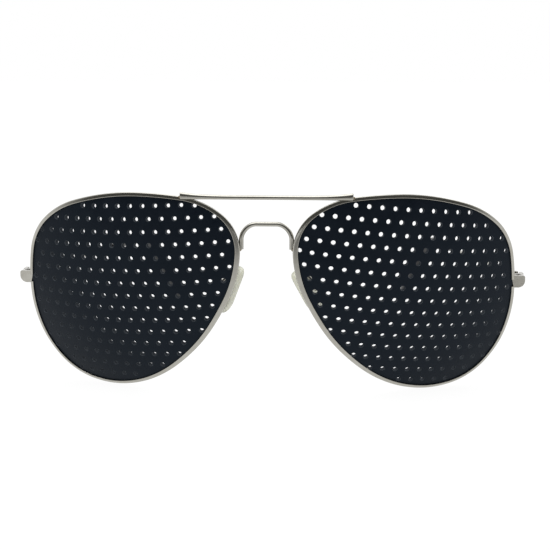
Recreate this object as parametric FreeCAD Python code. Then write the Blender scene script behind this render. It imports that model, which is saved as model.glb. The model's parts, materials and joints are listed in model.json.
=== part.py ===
import FreeCAD, Part
import math
import os

# Pinhole glasses in millimetres: a wire frame with two bridges, two perforated plates and folding temples.
#
# Each piece is first made in the wearing frame. Its origin lies midway between the two lens centres, X runs
# to the viewer's right, Y from the plates to the temple tips, and Z is up, square to the open temples.
# At the end all pieces are turned and moved together, so that the rims and the temple tips stand on Z = 0.
# Left and right are as seen from the front. The right side is made, and the left side is its mirror image.

Vector = FreeCAD.Vector

# The two lenses: parts of a ball, turned about Z to wrap the face and about X to lean under the brow
lens_distance = 79.55
surface_radius = 88.6
wrap_angle = 16.2
tilt_angle = 12.6
lens_width = 69.0
lens_height = 60.6

# The outline's nodes as shares of half the width and half the height from the lens centre, with the
# heading in degrees there in the same shares. Width and outline are flat sizes, before the ball's curve.
outline_nodes = (
    (0.942, 0.391, 99.2),
    (0.463, 0.914, 161.9),
    (-0.158, 1.017, 180.3),
    (-0.872, 0.833, 222.3),
    (-0.877, 0.000, 296.9),
    (-0.538, -0.515, 312.1),
    (-0.133, -0.856, 330.4),
    (0.488, -0.963, 372.9),
    (0.955, -0.396, 437.9),
)

# The perforated plates
plate_thickness = 1.2
hole_diameter = 1.35
hole_pitch = 3.7
row_pitch = 3.63
row_shift = 1.96
pattern_start = Vector(-12.6, 15.0, 0)
pattern_turn = {"left": -1.8, "right": -4.5}
hole_margin = 1.05

# The rims: a grooved wire with its ends in the closing block, the lower one reaching in by the seat
rim_width = 1.1
rim_web = 0.45
rim_lip = 0.35
plate_play = 0.05
rim_seat = 0.3

# The closing block, in an upper and a lower half, and its screw
block_rise = 3.95
block_width = 3.1
block_height = 3.4
block_depth = 4.5
block_front_step = 0.2
upper_half_height = 1.0
block_corner = 0.5
block_round = 2.0
block_overlap = 0.9
screw_radius = 0.6
screw_play = 0.02
screw_setback = 1.6
screw_outset = 0.3
screw_end_gap = 0.2
screw_head_radius = 0.95
screw_head_height = 0.5
screw_head_sink = 0.35
slot_width = 0.3
slot_depth = 0.25
slot_heading = Vector(1, 0.3, 0.2)

# The hinges
strip_thickness = 0.9
hinge_setback = 3.0
hinge_drop = 0.3
knuckle_radius = 1.2
knuckle_height = 1.0
temple_knuckle_height = 1.32
knuckle_gap = 0.04
knuckle_clearance = 0.05
hinge_bore_play = 0.03
strip_gap = 0.15

# The temples: a wire that bends down behind the ear, with a leaf for the hinge and a sleeve on its end
temple_converge = 13.5
wire_radius = 0.6
leaf_thickness = 0.8
leaf_length = 7.0
leaf_height = 2.4
leaf_end_share = 0.48
ear_distance = 95.0
ear_drop_angle = 43.0
ear_inward_angle = 6.4
ear_bend_radius = 20.0
tip_length = 36.5
sleeve_start = 64.0
sleeve_front_radius = 1.0
sleeve_radius = 1.45
sleeve_end_radius = 1.65
sleeve_taper = 12.0
sleeve_flare = 16.0
sleeve_end_wall = 5.0
sleeve_end_gap = 0.2
sleeve_play = 0.02

# The bridge and the brow bar
bridge_radius = 0.65
bridge_top = 21.4
bridge_bend = 3.1
bridge_foot_rise = 0.7
bridge_bite = 0.2
solder_bite = 0.1
brow_radius = 0.6
brow_half_length = 23.5
brow_seat = 22.8
brow_end_round = 0.2
brow_drop = 0.2

# The nose pads, with their arms and boxes; places are from the rim's innermost point
pad_outwards = 3.5
pad_backwards = 11.0
pad_down = 12.3
pad_frontal_angle = 33.0
pad_splay_angle = 30.0
pad_rest_rock = {"left": 6.0, "right": -6.0}
pad_length = 14.0
pad_top_radius = 2.6
pad_bottom_radius = 3.6
pad_thickness = 2.0
pad_edge_round = 0.7
core_length = 8.0
core_width = 3.6
core_thickness = 0.5
core_corner = 1.2
stem_width = 1.0
stem_radius = 0.7
stem_reach = 1.5
box_wall = 0.5
box_play = 0.08
box_height = 2.4
pad_screw_radius = 0.4
pad_screw_head_radius = 0.72
pad_screw_head_height = 0.35
arm_radius = 0.5
arm_bend = 1.6
arm_root_drop = 8.0
arm_rise = 1.8
arm_clear = 4.2
arm_lean = 0.5
arm_box_side = Vector(-1.6, -2.4, 3.4)
arm_end_drop = 0.4
arm_bite = 0.2

# How finely curves are sampled, how much cutting tools overshoot, and how close a found edge must be
samples_per_arc = 48
mesh_step = 0.02
settling_rounds = 8
overshoot = 1.0
tool_reach = 5.0
near_enough = 0.01


def unit(vector):
    """The vector with length one."""
    return vector * (1 / vector.Length)


def turned(vector, axis, degrees):
    """The vector turned about an axis through the origin."""
    return FreeCAD.Rotation(axis, degrees).multVec(vector)


def rod(start, end, radius):
    """A round rod from one point to another."""
    return Part.makeCylinder(radius, (end - start).Length, start, end - start)


def cone(start, end, start_radius, end_radius):
    """A round taper from one point to another."""
    return Part.makeCone(start_radius, end_radius, (end - start).Length, start, end - start)


def box_between(low, high):
    """A box with its sides along X, Y and Z."""
    size = high - low
    return Part.makeBox(size.x, size.y, size.z, low)


def bend_piece(before, corner, after, radius, bend_radius):
    """The tangent bend of a rod at a corner: where it starts, where it ends, and its solid."""
    first = unit(corner - before)
    second = unit(after - corner)
    turn = first.getAngle(second)
    setback = bend_radius * math.tan(turn / 2)
    start = corner - first * setback
    axis = first.cross(second)
    centre = start + unit(axis.cross(first)) * bend_radius
    section = Part.Face(Part.Wire(Part.makeCircle(radius, start, first)))
    return start, corner + second * setback, section.revolve(centre, axis, math.degrees(turn))


def bent_rod(points, radius, bend_radius):
    """A round rod along straight runs, with a tangent bend at each inner point."""
    pieces = []
    start = points[0]
    for before, corner, after in zip(points, points[1:], points[2:]):
        bend_start, bend_end, bend = bend_piece(before, corner, after, radius, bend_radius)
        pieces += [rod(start, bend_start, radius), bend]
        start = bend_end
    pieces.append(rod(start, points[-1], radius))
    return pieces[0].fuse(pieces[1:]).removeSplitter()


# The lens surface

lens_centre = Vector(lens_distance / 2, 0, 0)
lens_turn = FreeCAD.Rotation(Vector(0, 0, 1), wrap_angle) * FreeCAD.Rotation(Vector(1, 0, 0), tilt_angle)
lens_across = lens_turn.multVec(Vector(1, 0, 0))
lens_inward = lens_turn.multVec(Vector(0, 1, 0))
lens_up = lens_turn.multVec(Vector(0, 0, 1))
ball_centre = lens_centre + lens_inward * surface_radius


def flat_size(size):
    """A size on the ball near the outline, as it measures on the flat plane that touches the lens centre."""
    mean_reach = (lens_width + lens_height) / 4
    return size * (1 + (mean_reach / surface_radius) ** 2)


def plane_point(flat, scale=1.0):
    """A flat outline point in space, drawn towards the ball's centre by the scale."""
    place = lens_centre + lens_across * flat.x + lens_up * flat.y
    return ball_centre + (place - ball_centre) * scale


def ball_point(flat, radius=surface_radius):
    """The point of the ball in front of a flat outline point."""
    return ball_centre + unit(plane_point(flat) - ball_centre) * radius


def outline_node(across, up, heading):
    """A node's flat place and the direction that the outline runs there."""
    place = Vector(across * lens_width / 2, up * lens_height / 2, 0)
    angle = math.radians(heading)
    return place, unit(Vector(math.cos(angle) * lens_width, math.sin(angle) * lens_height, 0))


def arc_joint(start, start_way, end, end_way):
    """Where two arcs meet smoothly that leave the start one way and reach the end another way."""
    span = end - start
    bend = 2 * (1 - start_way.dot(end_way))
    along = span.dot(start_way + end_way)
    reach = (math.sqrt(along ** 2 + bend * span.dot(span)) - along) / bend
    return (start + end + (start_way - end_way) * reach) * 0.5


def arc_points(start, start_way, end):
    """The start, middle and end of an arc, each with the direction that the arc runs there."""
    chord = unit(end - start)
    halfway = unit(start_way + chord)
    middle = start + halfway * ((end - start).Length / 2 / halfway.dot(chord))
    end_way = chord * (2 * chord.dot(start_way)) - start_way
    return (start, start_way), (middle, chord), (end, end_way)


def outline_arcs():
    """The plate's outline as a closed chain of tangent arcs, two between each pair of nodes."""
    nodes = [outline_node(*node) for node in outline_nodes]
    arcs = []
    for (start, start_way), (end, end_way) in zip(nodes, nodes[1:] + nodes[:1]):
        joint = arc_joint(start, start_way, end, end_way)
        arcs.append(arc_points(start, start_way, joint))
        arcs.append(arc_points(joint, arcs[-1][2][1], end))
    return arcs


def outset_point(place, way, outset):
    """A point of the outline moved outwards, square to the way that the outline runs."""
    return place + Vector(way.y, -way.x, 0) * flat_size(outset)


def outline_wire(outset, scale):
    """The outline moved outwards by outset, in a plane at the scale's distance from the ball's centre."""
    edges = []
    for arc in outline_arcs():
        points = [plane_point(outset_point(place, way, outset), scale) for place, way in arc]
        edges.append(Part.Arc(*points).toShape())
    return Part.Wire(edges)


def outline_samples(outset):
    """Points along the outset outline on the ball, from each arc's flat points."""
    points = []
    for arc in outline_arcs():
        flat = [outset_point(place, way, outset) for place, way in arc]
        curve = Part.Arc(*flat)
        step = (curve.LastParameter - curve.FirstParameter) / samples_per_arc
        points += [ball_point(curve.value(curve.FirstParameter + step * i)) for i in range(samples_per_arc)]
    return points


def lens_block(outset, outer_radius, inner_radius):
    """The part of a ball's shell inside the outset outline, with its sides square to the ball."""
    edge_scale = math.hypot(1, lens_width / surface_radius)
    near_scale = (inner_radius - tool_reach) / surface_radius / edge_scale
    far_scale = (outer_radius + tool_reach) / surface_radius
    pyramid = Part.makeLoft([outline_wire(outset, near_scale), outline_wire(outset, far_scale)], True, True)
    outer = Part.makeSphere(outer_radius, ball_centre)
    inner = Part.makeSphere(inner_radius, ball_centre)
    return pyramid.common(outer).cut(inner)


# Places on the rim's outer edge that other pieces are set from

rim_outset = plate_play + rim_web
rim_front_radius = surface_radius + plate_play + rim_lip
rim_back_radius = surface_radius - plate_thickness - plate_play - rim_lip
rim_edge = outline_samples(rim_outset)


def edge_at_height(height, nasal):
    """The outer edge's point at a height, on the nasal or the temple side."""
    side = [point for point in rim_edge if (point.x < lens_centre.x) == nasal]
    return min(side, key=lambda point: abs(point.z - height))


def edge_above(across):
    """The upper outer edge's point at a distance from the middle of the glasses."""
    upper = [point for point in rim_edge if point.z > 0]
    return min(upper, key=lambda point: abs(point.x - across))


nasal_point = min(rim_edge, key=lambda point: point.x)
temple_point = edge_at_height(block_rise, nasal=False)
block_low = block_rise - block_height / 2
block_high = block_low + block_height
split_height = block_high - upper_half_height
block_outer = temple_point.x + block_width
block_front = temple_point.y - block_front_step
block_back = block_front + block_depth
strip_inner = block_outer - strip_thickness
hinge_x = strip_inner - knuckle_clearance - knuckle_radius
hinge_y = block_back + hinge_setback
hinge_z = block_rise - hinge_drop
hinge_point = Vector(hinge_x, hinge_y, hinge_z)
hinge_half_height = temple_knuckle_height / 2 + knuckle_gap + knuckle_height


def make_rim_ring():
    """A closed rim with its groove, and the solid space that it fills with all that is inside it."""
    filled = lens_block(rim_outset, rim_front_radius, rim_back_radius)
    bored = lens_block(rim_outset - rim_width, rim_front_radius + overshoot, rim_back_radius - overshoot)
    groove_front = surface_radius + plate_play
    groove = lens_block(plate_play, groove_front, groove_front - plate_thickness - 2 * plate_play)
    return filled.cut(bored).cut(groove), filled


def make_rim(ring):
    """The ring with its opening, which the lower half of the closing block covers."""
    low = Vector(temple_point.x - tool_reach, block_front - tool_reach, block_low + rim_seat)
    high = Vector(block_outer + overshoot, block_back + tool_reach, split_height)
    return ring.cut(box_between(low, high))


def pattern_holes(side):
    """Cylinders square to the ball at each point of the staggered pattern that fits on the plate."""
    field = Part.Face(outline_wire(-hole_margin, 1.0))
    reach = int(lens_width / row_pitch)
    widest_angle = math.pi / 4
    drills = []
    for row in range(-reach, reach + 1):
        for column in range(-2 * reach, 2 * reach + 1):
            sheet = pattern_start + Vector(column * hole_pitch + row * row_shift, -row * row_pitch, 0)
            sheet = turned(sheet, Vector(0, 0, 1), pattern_turn[side])
            angle = sheet.Length / surface_radius
            if angle > widest_angle:
                continue
            flat = unit(sheet) * (surface_radius * math.tan(angle))
            if field.isInside(plane_point(flat), 0.001, True):
                way = unit(plane_point(flat) - ball_centre)
                start = ball_centre + way * (surface_radius - plate_thickness - overshoot)
                end = ball_centre + way * (surface_radius + overshoot)
                drills.append(rod(start, end, hole_diameter / 2))
    return drills


def make_plate(side):
    """A perforated plate, made on the right."""
    plate = lens_block(0, surface_radius, surface_radius - plate_thickness)
    return plate.cut(Part.makeCompound(pattern_holes(side)))


def screw(foot, length, way, radius, head_radius, head_height):
    """A slotted screw that stands on its foot, with its head at the far end."""
    top = foot + way * length
    body = rod(foot, top, radius).fuse(rod(top, top + way * head_height, head_radius))
    across = unit(way.cross(slot_heading))
    slot = Part.makeBox(2 * (head_radius + overshoot), slot_width, slot_depth)
    slot.translate(Vector(-head_radius - overshoot, -slot_width / 2, 0))
    slot.Placement = FreeCAD.Placement(
        top + way * (head_height - slot_depth), FreeCAD.Rotation(across, way.cross(across), way, "ZXY")
    ).multiply(slot.Placement)
    return body.cut(slot)


def block_half(low, high, round_radius, round_low):
    """One half of the closing block, with its outer corner rounded at the top or at the bottom."""
    half = box_between(
        Vector(temple_point.x - block_overlap, block_front, low),
        Vector(block_outer, block_back, high),
    )
    corner = Vector(block_outer, (block_front + block_back) / 2, low if round_low else high)
    edges = [edge for edge in half.Edges if (edge.CenterOfMass - corner).Length < near_enough]
    return half.makeFillet(round_radius, edges)


rim_screw_x = (temple_point.x - block_overlap + block_outer) / 2 + screw_outset
rim_screw_point = Vector(rim_screw_x, block_back - screw_setback, 0)


def make_closing_blocks(rim_space, rim):
    """The upper half on the rim's outer side, the lower with a tongue in its opening, and both bored."""
    start = rim_screw_point + Vector(0, 0, block_low - overshoot)
    seat = rim_screw_point + Vector(0, 0, block_high - screw_head_sink)
    bore = rod(start, seat, screw_radius + screw_play)
    sink = rod(seat, seat + Vector(0, 0, overshoot), screw_head_radius + screw_play)
    upper = block_half(split_height, block_high, block_corner, False)
    lower = block_half(block_low, split_height, block_round, True)
    upper = upper.cut(rim_space).cut(bore).cut(sink)
    inside = lens_block(plate_play, rim_front_radius + overshoot, rim_back_radius - overshoot)
    lower = lower.cut(inside).cut(rim).cut(bore)
    return largest(upper), largest(lower)


def largest(shape):
    """The largest solid of a cut piece."""
    return max(shape.Solids, key=lambda solid: solid.Volume)


def make_rim_screw():
    """The screw that draws the block's halves together, with its head in the upper half."""
    foot = rim_screw_point + Vector(0, 0, block_low + screw_end_gap)
    length = block_high - screw_head_sink - foot.z
    return screw(foot, length, Vector(0, 0, 1), screw_radius, screw_head_radius, screw_head_height)


def at_temple(shape):
    """A shape made about the hinge axis, with Y along the temple, set in its place."""
    shape.rotate(Vector(0, 0, 0), Vector(0, 0, 1), temple_converge)
    shape.translate(hinge_point)
    return shape


def make_end_piece():
    """The lug behind the upper block half, with the two outer knuckles of the hinge."""
    low = Vector(strip_inner, block_back, hinge_z - hinge_half_height)
    high = Vector(block_outer, hinge_y + strip_thickness, max(block_high, hinge_z + hinge_half_height))
    strip = box_between(low, high)
    behind = box_between(
        Vector(-tool_reach, -knuckle_clearance, -tool_reach),
        Vector(tool_reach, tool_reach, tool_reach),
    )
    strip = strip.cut(at_temple(behind))
    edge = Vector(overshoot, overshoot, overshoot)
    below = Vector(high.x + overshoot, block_back + strip_gap, split_height + strip_gap)
    strip = strip.cut(box_between(low - edge, below))
    for way in (1, -1):
        near = hinge_z + way * (temple_knuckle_height / 2 + knuckle_gap)
        far = near + way * knuckle_height
        strip = strip.fuse(rod(Vector(hinge_x, hinge_y, near), Vector(hinge_x, hinge_y, far), knuckle_radius))
        web_low = Vector(hinge_x, hinge_y - knuckle_radius, min(near, far))
        web_high = Vector(strip_inner + solder_bite, hinge_y, max(near, far))
        strip = strip.fuse(box_between(web_low, web_high))
    reach = Vector(0, 0, tool_reach)
    bore = rod(hinge_point - reach, hinge_point + reach, screw_radius + screw_play)
    return strip.cut(bore).removeSplitter()


def make_hinge_screw():
    """The hinge's pin, with its head on the upper knuckle."""
    foot = hinge_point - Vector(0, 0, hinge_half_height)
    length = 2 * hinge_half_height
    return screw(foot, length, Vector(0, 0, 1), screw_radius, screw_head_radius, screw_head_height)


leaf_inner = knuckle_radius + knuckle_clearance
wire_across = leaf_inner + leaf_thickness + wire_radius - solder_bite


def temple_route(end_cut):
    """The wire's corner points about the hinge axis, ending short of the sleeve's end by end_cut."""
    start = Vector(wire_across, 0, 0)
    corner = Vector(wire_across, ear_distance, 0)
    way = turned(Vector(0, 1, 0), Vector(1, 0, 0), -ear_drop_angle)
    way = turned(way, Vector(0, 0, 1), ear_inward_angle)
    return [start, corner, corner + way * (tip_length - end_cut)]


def at_temple_point(place):
    """A point's place in the wearing frame, given about the hinge axis with Y along the temple."""
    return hinge_point + turned(place, Vector(0, 0, 1), temple_converge)


route_start, route_corner, route_end = temple_route(0)
tip_way = unit(route_end - route_corner)
ear_setback = ear_bend_radius * math.tan(tip_way.getAngle(Vector(0, 1, 0)) / 2)
sleeve_plain_end = tip_length - sleeve_end_radius - sleeve_flare
sleeve_mount_point = at_temple_point(route_corner + tip_way * ((ear_setback + sleeve_plain_end) / 2))
sleeve_mount_axis = turned(tip_way, Vector(0, 0, 1), temple_converge)


def make_temple():
    """The temple's wire with its hinge leaf and middle knuckle."""
    wire = bent_rod(temple_route(sleeve_end_wall), wire_radius, ear_bend_radius)
    leaf = box_between(
        Vector(leaf_inner, 0, -leaf_height / 2),
        Vector(leaf_inner + leaf_thickness, leaf_length, leaf_height / 2),
    )
    ends = [
        edge for edge in leaf.Edges
        if abs(edge.CenterOfMass.y - leaf_length) < near_enough and abs(edge.CenterOfMass.z) > near_enough
    ]
    leaf = leaf.makeFillet(leaf_height * leaf_end_share, ends)
    half = temple_knuckle_height / 2
    knuckle = rod(Vector(0, 0, -half), Vector(0, 0, half), knuckle_radius)
    web = box_between(Vector(0, 0, -half), Vector(leaf_inner + solder_bite, knuckle_radius, half))
    reach = Vector(0, 0, tool_reach)
    bore = rod(reach * -1, reach, screw_radius + hinge_bore_play)
    return at_temple(wire.fuse([leaf, knuckle, web]).cut(bore).removeSplitter())


def make_temple_tip():
    """The sleeve on the temple's end: a taper, a plain stretch round the bend, a flare and a round end."""
    before, corner, end = temple_route(0)
    bend_start, bend_end, bend = bend_piece(before, corner, end, sleeve_radius, ear_bend_radius)
    way = unit(end - corner)
    front = Vector(wire_across, sleeve_start, 0)
    plain = Vector(wire_across, sleeve_start + sleeve_taper, 0)
    round_centre = end - way * sleeve_end_radius
    flare_start = round_centre - way * sleeve_flare
    pieces = [
        rod(plain, bend_start, sleeve_radius),
        bend,
        rod(bend_end, flare_start, sleeve_radius),
        cone(flare_start, round_centre, sleeve_radius, sleeve_end_radius),
        Part.makeSphere(sleeve_end_radius, round_centre),
    ]
    sleeve = cone(front, plain, sleeve_front_radius, sleeve_radius).fuse(pieces)
    bore_end = sleeve_end_wall - sleeve_end_gap
    bore = bent_rod(temple_route(bore_end), wire_radius + sleeve_play, ear_bend_radius)
    return at_temple(sleeve.cut(bore).removeSplitter())


def make_bridge(rim_space, other_space):
    """The bent wire between the rims, with its two feet soldered to their nasal sides."""
    middle_depth = (rim_front_radius + rim_back_radius) / 2
    depth = (ball_centre + unit(nasal_point - ball_centre) * middle_depth).y
    half = nasal_point.x - bridge_radius + bridge_bite
    foot = nasal_point.z + bridge_foot_rise
    points = [
        Vector(-half, depth, foot),
        Vector(-half, depth, bridge_top),
        Vector(half, depth, bridge_top),
        Vector(half, depth, foot),
    ]
    return bent_rod(points, bridge_radius, bridge_bend).cut(rim_space).cut(other_space)


def make_brow_bar(rim_space, other_space):
    """The straight bar over the bridge, notched where it sits on the rims' upper edges."""
    seat = edge_above(brow_seat)
    depth = (ball_centre + unit(seat - ball_centre) * rim_front_radius).y
    start = Vector(-brow_half_length, depth, seat.z - brow_drop)
    end = Vector(brow_half_length, depth, seat.z - brow_drop)
    bar = rod(start, end, brow_radius)
    ends = [edge for edge in bar.Edges if abs(abs(edge.CenterOfMass.x) - brow_half_length) < near_enough]
    bar = bar.makeFillet(brow_end_round, ends)
    return bar.cut(rim_space).cut(other_space)


# The nose pad's own directions: down its length, back along its width, and out of its face to the nose

pad_back = turned(Vector(0, 1, 0), Vector(0, 0, 1), -pad_splay_angle)
pad_level_face = turned(Vector(-1, 0, 0), Vector(0, 0, 1), -pad_splay_angle)
pad_long = turned(Vector(0, 0, -1), pad_back, -pad_frontal_angle)
pad_face = turned(pad_level_face, pad_back, -pad_frontal_angle)
pad_centre = nasal_point + Vector(pad_outwards, pad_backwards, -pad_down)
pad_pivot = pad_centre - pad_face * (pad_thickness / 2 + stem_reach)


def at_pad(shape, origin):
    """A shape made with X back, Y up the pad's length and Z out of its face, set in its place."""
    turn = FreeCAD.Rotation(pad_back, -pad_long, pad_face, "ZXY")
    shape.Placement = FreeCAD.Placement(origin, turn).multiply(shape.Placement)
    return shape


def pad_outline():
    """An egg: a small round end on top and a large one below, joined by straight sides."""
    rise = pad_length / 2 - pad_top_radius
    drop = pad_length / 2 - pad_bottom_radius
    lean = math.asin((pad_bottom_radius - pad_top_radius) / (rise + drop))
    side = Vector(math.cos(lean), math.sin(lean), 0)
    other = Vector(-side.x, side.y, 0)
    top = Vector(0, rise, 0)
    bottom = Vector(0, -drop, 0)
    top_right = top + side * pad_top_radius
    top_left = top + other * pad_top_radius
    bottom_right = bottom + side * pad_bottom_radius
    bottom_left = bottom + other * pad_bottom_radius
    top_end = Part.Arc(top_right, top + Vector(0, pad_top_radius, 0), top_left)
    bottom_end = Part.Arc(bottom_left, bottom - Vector(0, pad_bottom_radius, 0), bottom_right)
    sides = [Part.LineSegment(top_left, bottom_left), Part.LineSegment(bottom_right, top_right)]
    return Part.Wire([curve.toShape() for curve in (top_end, sides[0], bottom_end, sides[1])])


def make_pad_core():
    """The hard core: a thin plate inside the soft pad, and the stem that turns on the pad's screw."""
    plate = Part.makeBox(core_width, core_length, core_thickness)
    plate.translate(Vector(-core_width / 2, -core_length / 2, -core_thickness / 2))
    upright = [edge for edge in plate.Edges if abs(edge.CenterOfMass.z) < near_enough]
    plate = plate.makeFillet(core_corner, upright)
    pivot = Vector(0, 0, -pad_thickness / 2 - stem_reach)
    stem = Part.makeBox(stem_width, 2 * stem_radius, -pivot.z)
    stem.translate(Vector(-stem_width / 2, -stem_radius, pivot.z))
    half = Vector(stem_width / 2, 0, 0)
    stem = stem.fuse(rod(pivot - half, pivot + half, stem_radius))
    side = Vector(tool_reach, 0, 0)
    bore = rod(pivot - side, pivot + side, pad_screw_radius + screw_play)
    return at_pad(plate.fuse(stem).cut(bore).removeSplitter(), pad_centre)


def make_nose_pad(core):
    """The soft pad, moulded round its core."""
    pad = Part.Face(pad_outline()).extrude(Vector(0, 0, pad_thickness))
    half = pad_thickness / 2
    pad.translate(Vector(0, 0, -half))
    flat_edges = [edge for edge in pad.Edges if abs(abs(edge.CenterOfMass.z) - half) < near_enough]
    pad = pad.makeFillet(pad_edge_round, flat_edges)
    return at_pad(pad, pad_centre).cut(core)


def rocked(shape, side):
    """A right pad's piece, turned on its screw as the pad of that side rests."""
    shape.rotate(pad_pivot, pad_back, pad_rest_rock[side])
    return shape


box_half_width = stem_width / 2 + box_play + box_wall
box_back = stem_radius + box_play + box_wall


def pad_box_space():
    """The outer shape of the pad's box, before its slot and bore, about the pivot."""
    space = Part.makeBox(2 * box_half_width, box_height, box_back + stem_radius)
    space.translate(Vector(-box_half_width, -box_height / 2, -box_back))
    return space


def make_pad_box():
    """The small box on the arm's end, open to the pad and at both ends so that the stem can rock."""
    slot_half = box_half_width - box_wall
    slot = box_between(
        Vector(-slot_half, -box_height / 2 - overshoot, box_wall - box_back),
        Vector(slot_half, box_height / 2 + overshoot, stem_radius + overshoot),
    )
    side = Vector(tool_reach, 0, 0)
    bore = rod(side * -1, side, pad_screw_radius + screw_play)
    return at_pad(pad_box_space().cut(slot).cut(bore), pad_pivot)


def make_pad_screw():
    """The small screw through the box and the stem, which the pad rocks on."""
    foot = pad_pivot + pad_back * box_half_width
    length = 2 * box_half_width
    return screw(foot, length, pad_back * -1, pad_screw_radius, pad_screw_head_radius, pad_screw_head_height)


def make_pad_arm(rim_space):
    """The bent wire from the rim's inner back edge to the pad's box."""
    edge = edge_at_height(nasal_point.z - arm_root_drop, nasal=True)
    root = edge + unit(ball_centre - edge) * (plate_thickness / 2) + lens_across * (rim_width / 2)
    back_point = root + Vector(-arm_lean, arm_clear, arm_rise)
    side_point = pad_pivot + arm_box_side
    end = pad_pivot - pad_face * (box_back - arm_bite) - pad_long * arm_end_drop
    arm = bent_rod([root, back_point, side_point, end], arm_radius, arm_bend)
    return largest(arm.cut(rim_space).cut(at_pad(pad_box_space(), pad_pivot)))


def mirrored(shape):
    """The left side's copy of a right side's piece."""
    return shape.mirror(Vector(0, 0, 0), Vector(1, 0, 0))


def unchanged(shape):
    """The right side's piece itself."""
    return shape


def make_pieces():
    """All pieces in the wearing frame, by name."""
    ring, rim_space = make_rim_ring()
    other_space = mirrored(rim_space)
    rim = make_rim(ring)
    upper, lower = make_closing_blocks(rim_space, rim)
    right = {
        "rim": rim,
        "closing_block_upper": upper,
        "closing_block_lower": lower,
        "rim_screw": make_rim_screw(),
        "end_piece": make_end_piece(),
        "hinge_screw": make_hinge_screw(),
        "temple": make_temple(),
        "temple_tip": make_temple_tip(),
        "pad_arm": make_pad_arm(rim_space),
        "pad_box": make_pad_box(),
        "pad_screw": make_pad_screw(),
    }
    pieces = {"right_" + name: shape for name, shape in right.items()}
    pieces.update({"left_" + name: mirrored(shape) for name, shape in right.items()})
    for side, handed in (("right", unchanged), ("left", mirrored)):
        core = make_pad_core()
        pieces[side + "_nose_pad"] = handed(rocked(make_nose_pad(core), side))
        pieces[side + "_pad_core"] = handed(rocked(core, side))
        pieces[side + "_pinhole_plate"] = handed(make_plate(side))
    pieces["bridge"] = make_bridge(rim_space, other_space)
    pieces["brow_bar"] = make_brow_bar(rim_space, other_space)
    return pieces


def surface_points(shape):
    """Points all over a shape's surface."""
    return shape.tessellate(mesh_step)[0]


def standing_turn(front_points, tip_points):
    """The turn about X, in radians, that brings the lowest points of both to one height."""
    turn = 0.0
    for _ in range(settling_rounds):
        def height(point):
            return point.y * math.sin(turn) + point.z * math.cos(turn)
        front = min(front_points, key=height)
        tip = min(tip_points, key=height)
        turn = math.atan2(front.z - tip.z, tip.y - front.y)
    return turn


def standing_placement(pieces):
    """The turn and shift that stand the glasses on their rims and temple tips, over the origin."""
    front = surface_points(pieces["right_rim"])
    tip = surface_points(pieces["right_temple_tip"])
    turn = FreeCAD.Rotation(Vector(1, 0, 0), math.degrees(standing_turn(front, tip)))
    placed = [turn.multVec(point) for shape in pieces.values() for point in surface_points(shape)]
    low_y = min(point.y for point in placed)
    high_y = max(point.y for point in placed)
    low_z = min(point.z for point in placed)
    return FreeCAD.Placement(Vector(0, -(low_y + high_y) / 2, -low_z), turn)


def show(name, vector):
    """Print a named place or direction."""
    print("%s %.4f %.4f %.4f" % (name, vector.x, vector.y, vector.z))


def main():
    """Make, place and write all pieces, and print the places that the joints and mounts use."""
    os.makedirs("parts", exist_ok=True)
    pieces = make_pieces()
    stand = standing_placement(pieces)
    for name, shape in sorted(pieces.items()):
        shape.Placement = stand.multiply(shape.Placement)
        shape.exportStep("parts/" + name + ".step")
        box = shape.BoundBox
        state = (name, len(shape.Solids), shape.isValid(), shape.Volume)
        print("%-28s solids %d valid %s volume %.2f" % state)
        show("    low", Vector(box.XMin, box.YMin, box.ZMin))
        show("    high", Vector(box.XMax, box.YMax, box.ZMax))
    print("standing turn %.4f degrees" % math.degrees(stand.Rotation.Angle))
    show("hinge point", stand.multVec(hinge_point))
    show("hinge axis", stand.Rotation.multVec(Vector(0, 0, 1)))
    show("pad pivot", stand.multVec(pad_pivot))
    show("pad axis", stand.Rotation.multVec(pad_back))
    show("nasal point", stand.multVec(nasal_point))
    show("temple point", stand.multVec(temple_point))
    show("sleeve point", stand.multVec(sleeve_mount_point))
    show("sleeve axis", stand.Rotation.multVec(sleeve_mount_axis))
    print("sleeve length %.4f" % (sleeve_plain_end - ear_setback))
    show("lens centre", stand.multVec(lens_centre))
    show("ball centre", stand.multVec(ball_centre))


main()
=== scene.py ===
"""Pinhole glasses: a wire frame with two perforated plates, folding temples and nose pads, in a plain studio."""

import json
import logging
import math
from dataclasses import dataclass
from enum import Enum

import bpy
import numpy as np
from mathutils import Matrix, Vector
from mathutils.geometry import delaunay_2d_cdt


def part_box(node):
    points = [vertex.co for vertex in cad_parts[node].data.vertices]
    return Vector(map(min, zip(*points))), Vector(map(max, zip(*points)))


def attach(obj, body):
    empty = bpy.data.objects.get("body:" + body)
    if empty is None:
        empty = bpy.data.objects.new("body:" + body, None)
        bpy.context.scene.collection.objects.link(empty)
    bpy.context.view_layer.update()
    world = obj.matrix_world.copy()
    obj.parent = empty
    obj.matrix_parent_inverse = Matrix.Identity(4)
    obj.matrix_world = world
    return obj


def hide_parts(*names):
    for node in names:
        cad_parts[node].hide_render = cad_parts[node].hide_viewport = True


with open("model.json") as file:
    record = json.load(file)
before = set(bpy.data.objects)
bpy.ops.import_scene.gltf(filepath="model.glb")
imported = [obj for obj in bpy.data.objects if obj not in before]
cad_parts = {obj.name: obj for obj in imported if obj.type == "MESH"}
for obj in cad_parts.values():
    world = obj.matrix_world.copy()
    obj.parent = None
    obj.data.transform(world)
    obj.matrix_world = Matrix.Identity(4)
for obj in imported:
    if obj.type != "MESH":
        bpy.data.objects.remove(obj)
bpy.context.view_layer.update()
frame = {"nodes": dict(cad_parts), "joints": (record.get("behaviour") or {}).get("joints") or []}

LOG = logging.getLogger("pinhole_glasses")
MM = 0.001
MERGE_DISTANCE = 1e-6
LEAST_ARC_POINTS = 4
MEETING_DISTANCE = 1e-7
PLATE_THICKNESS = 1.2
UP = np.array([0.0, 0.0, 1.0])


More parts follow.
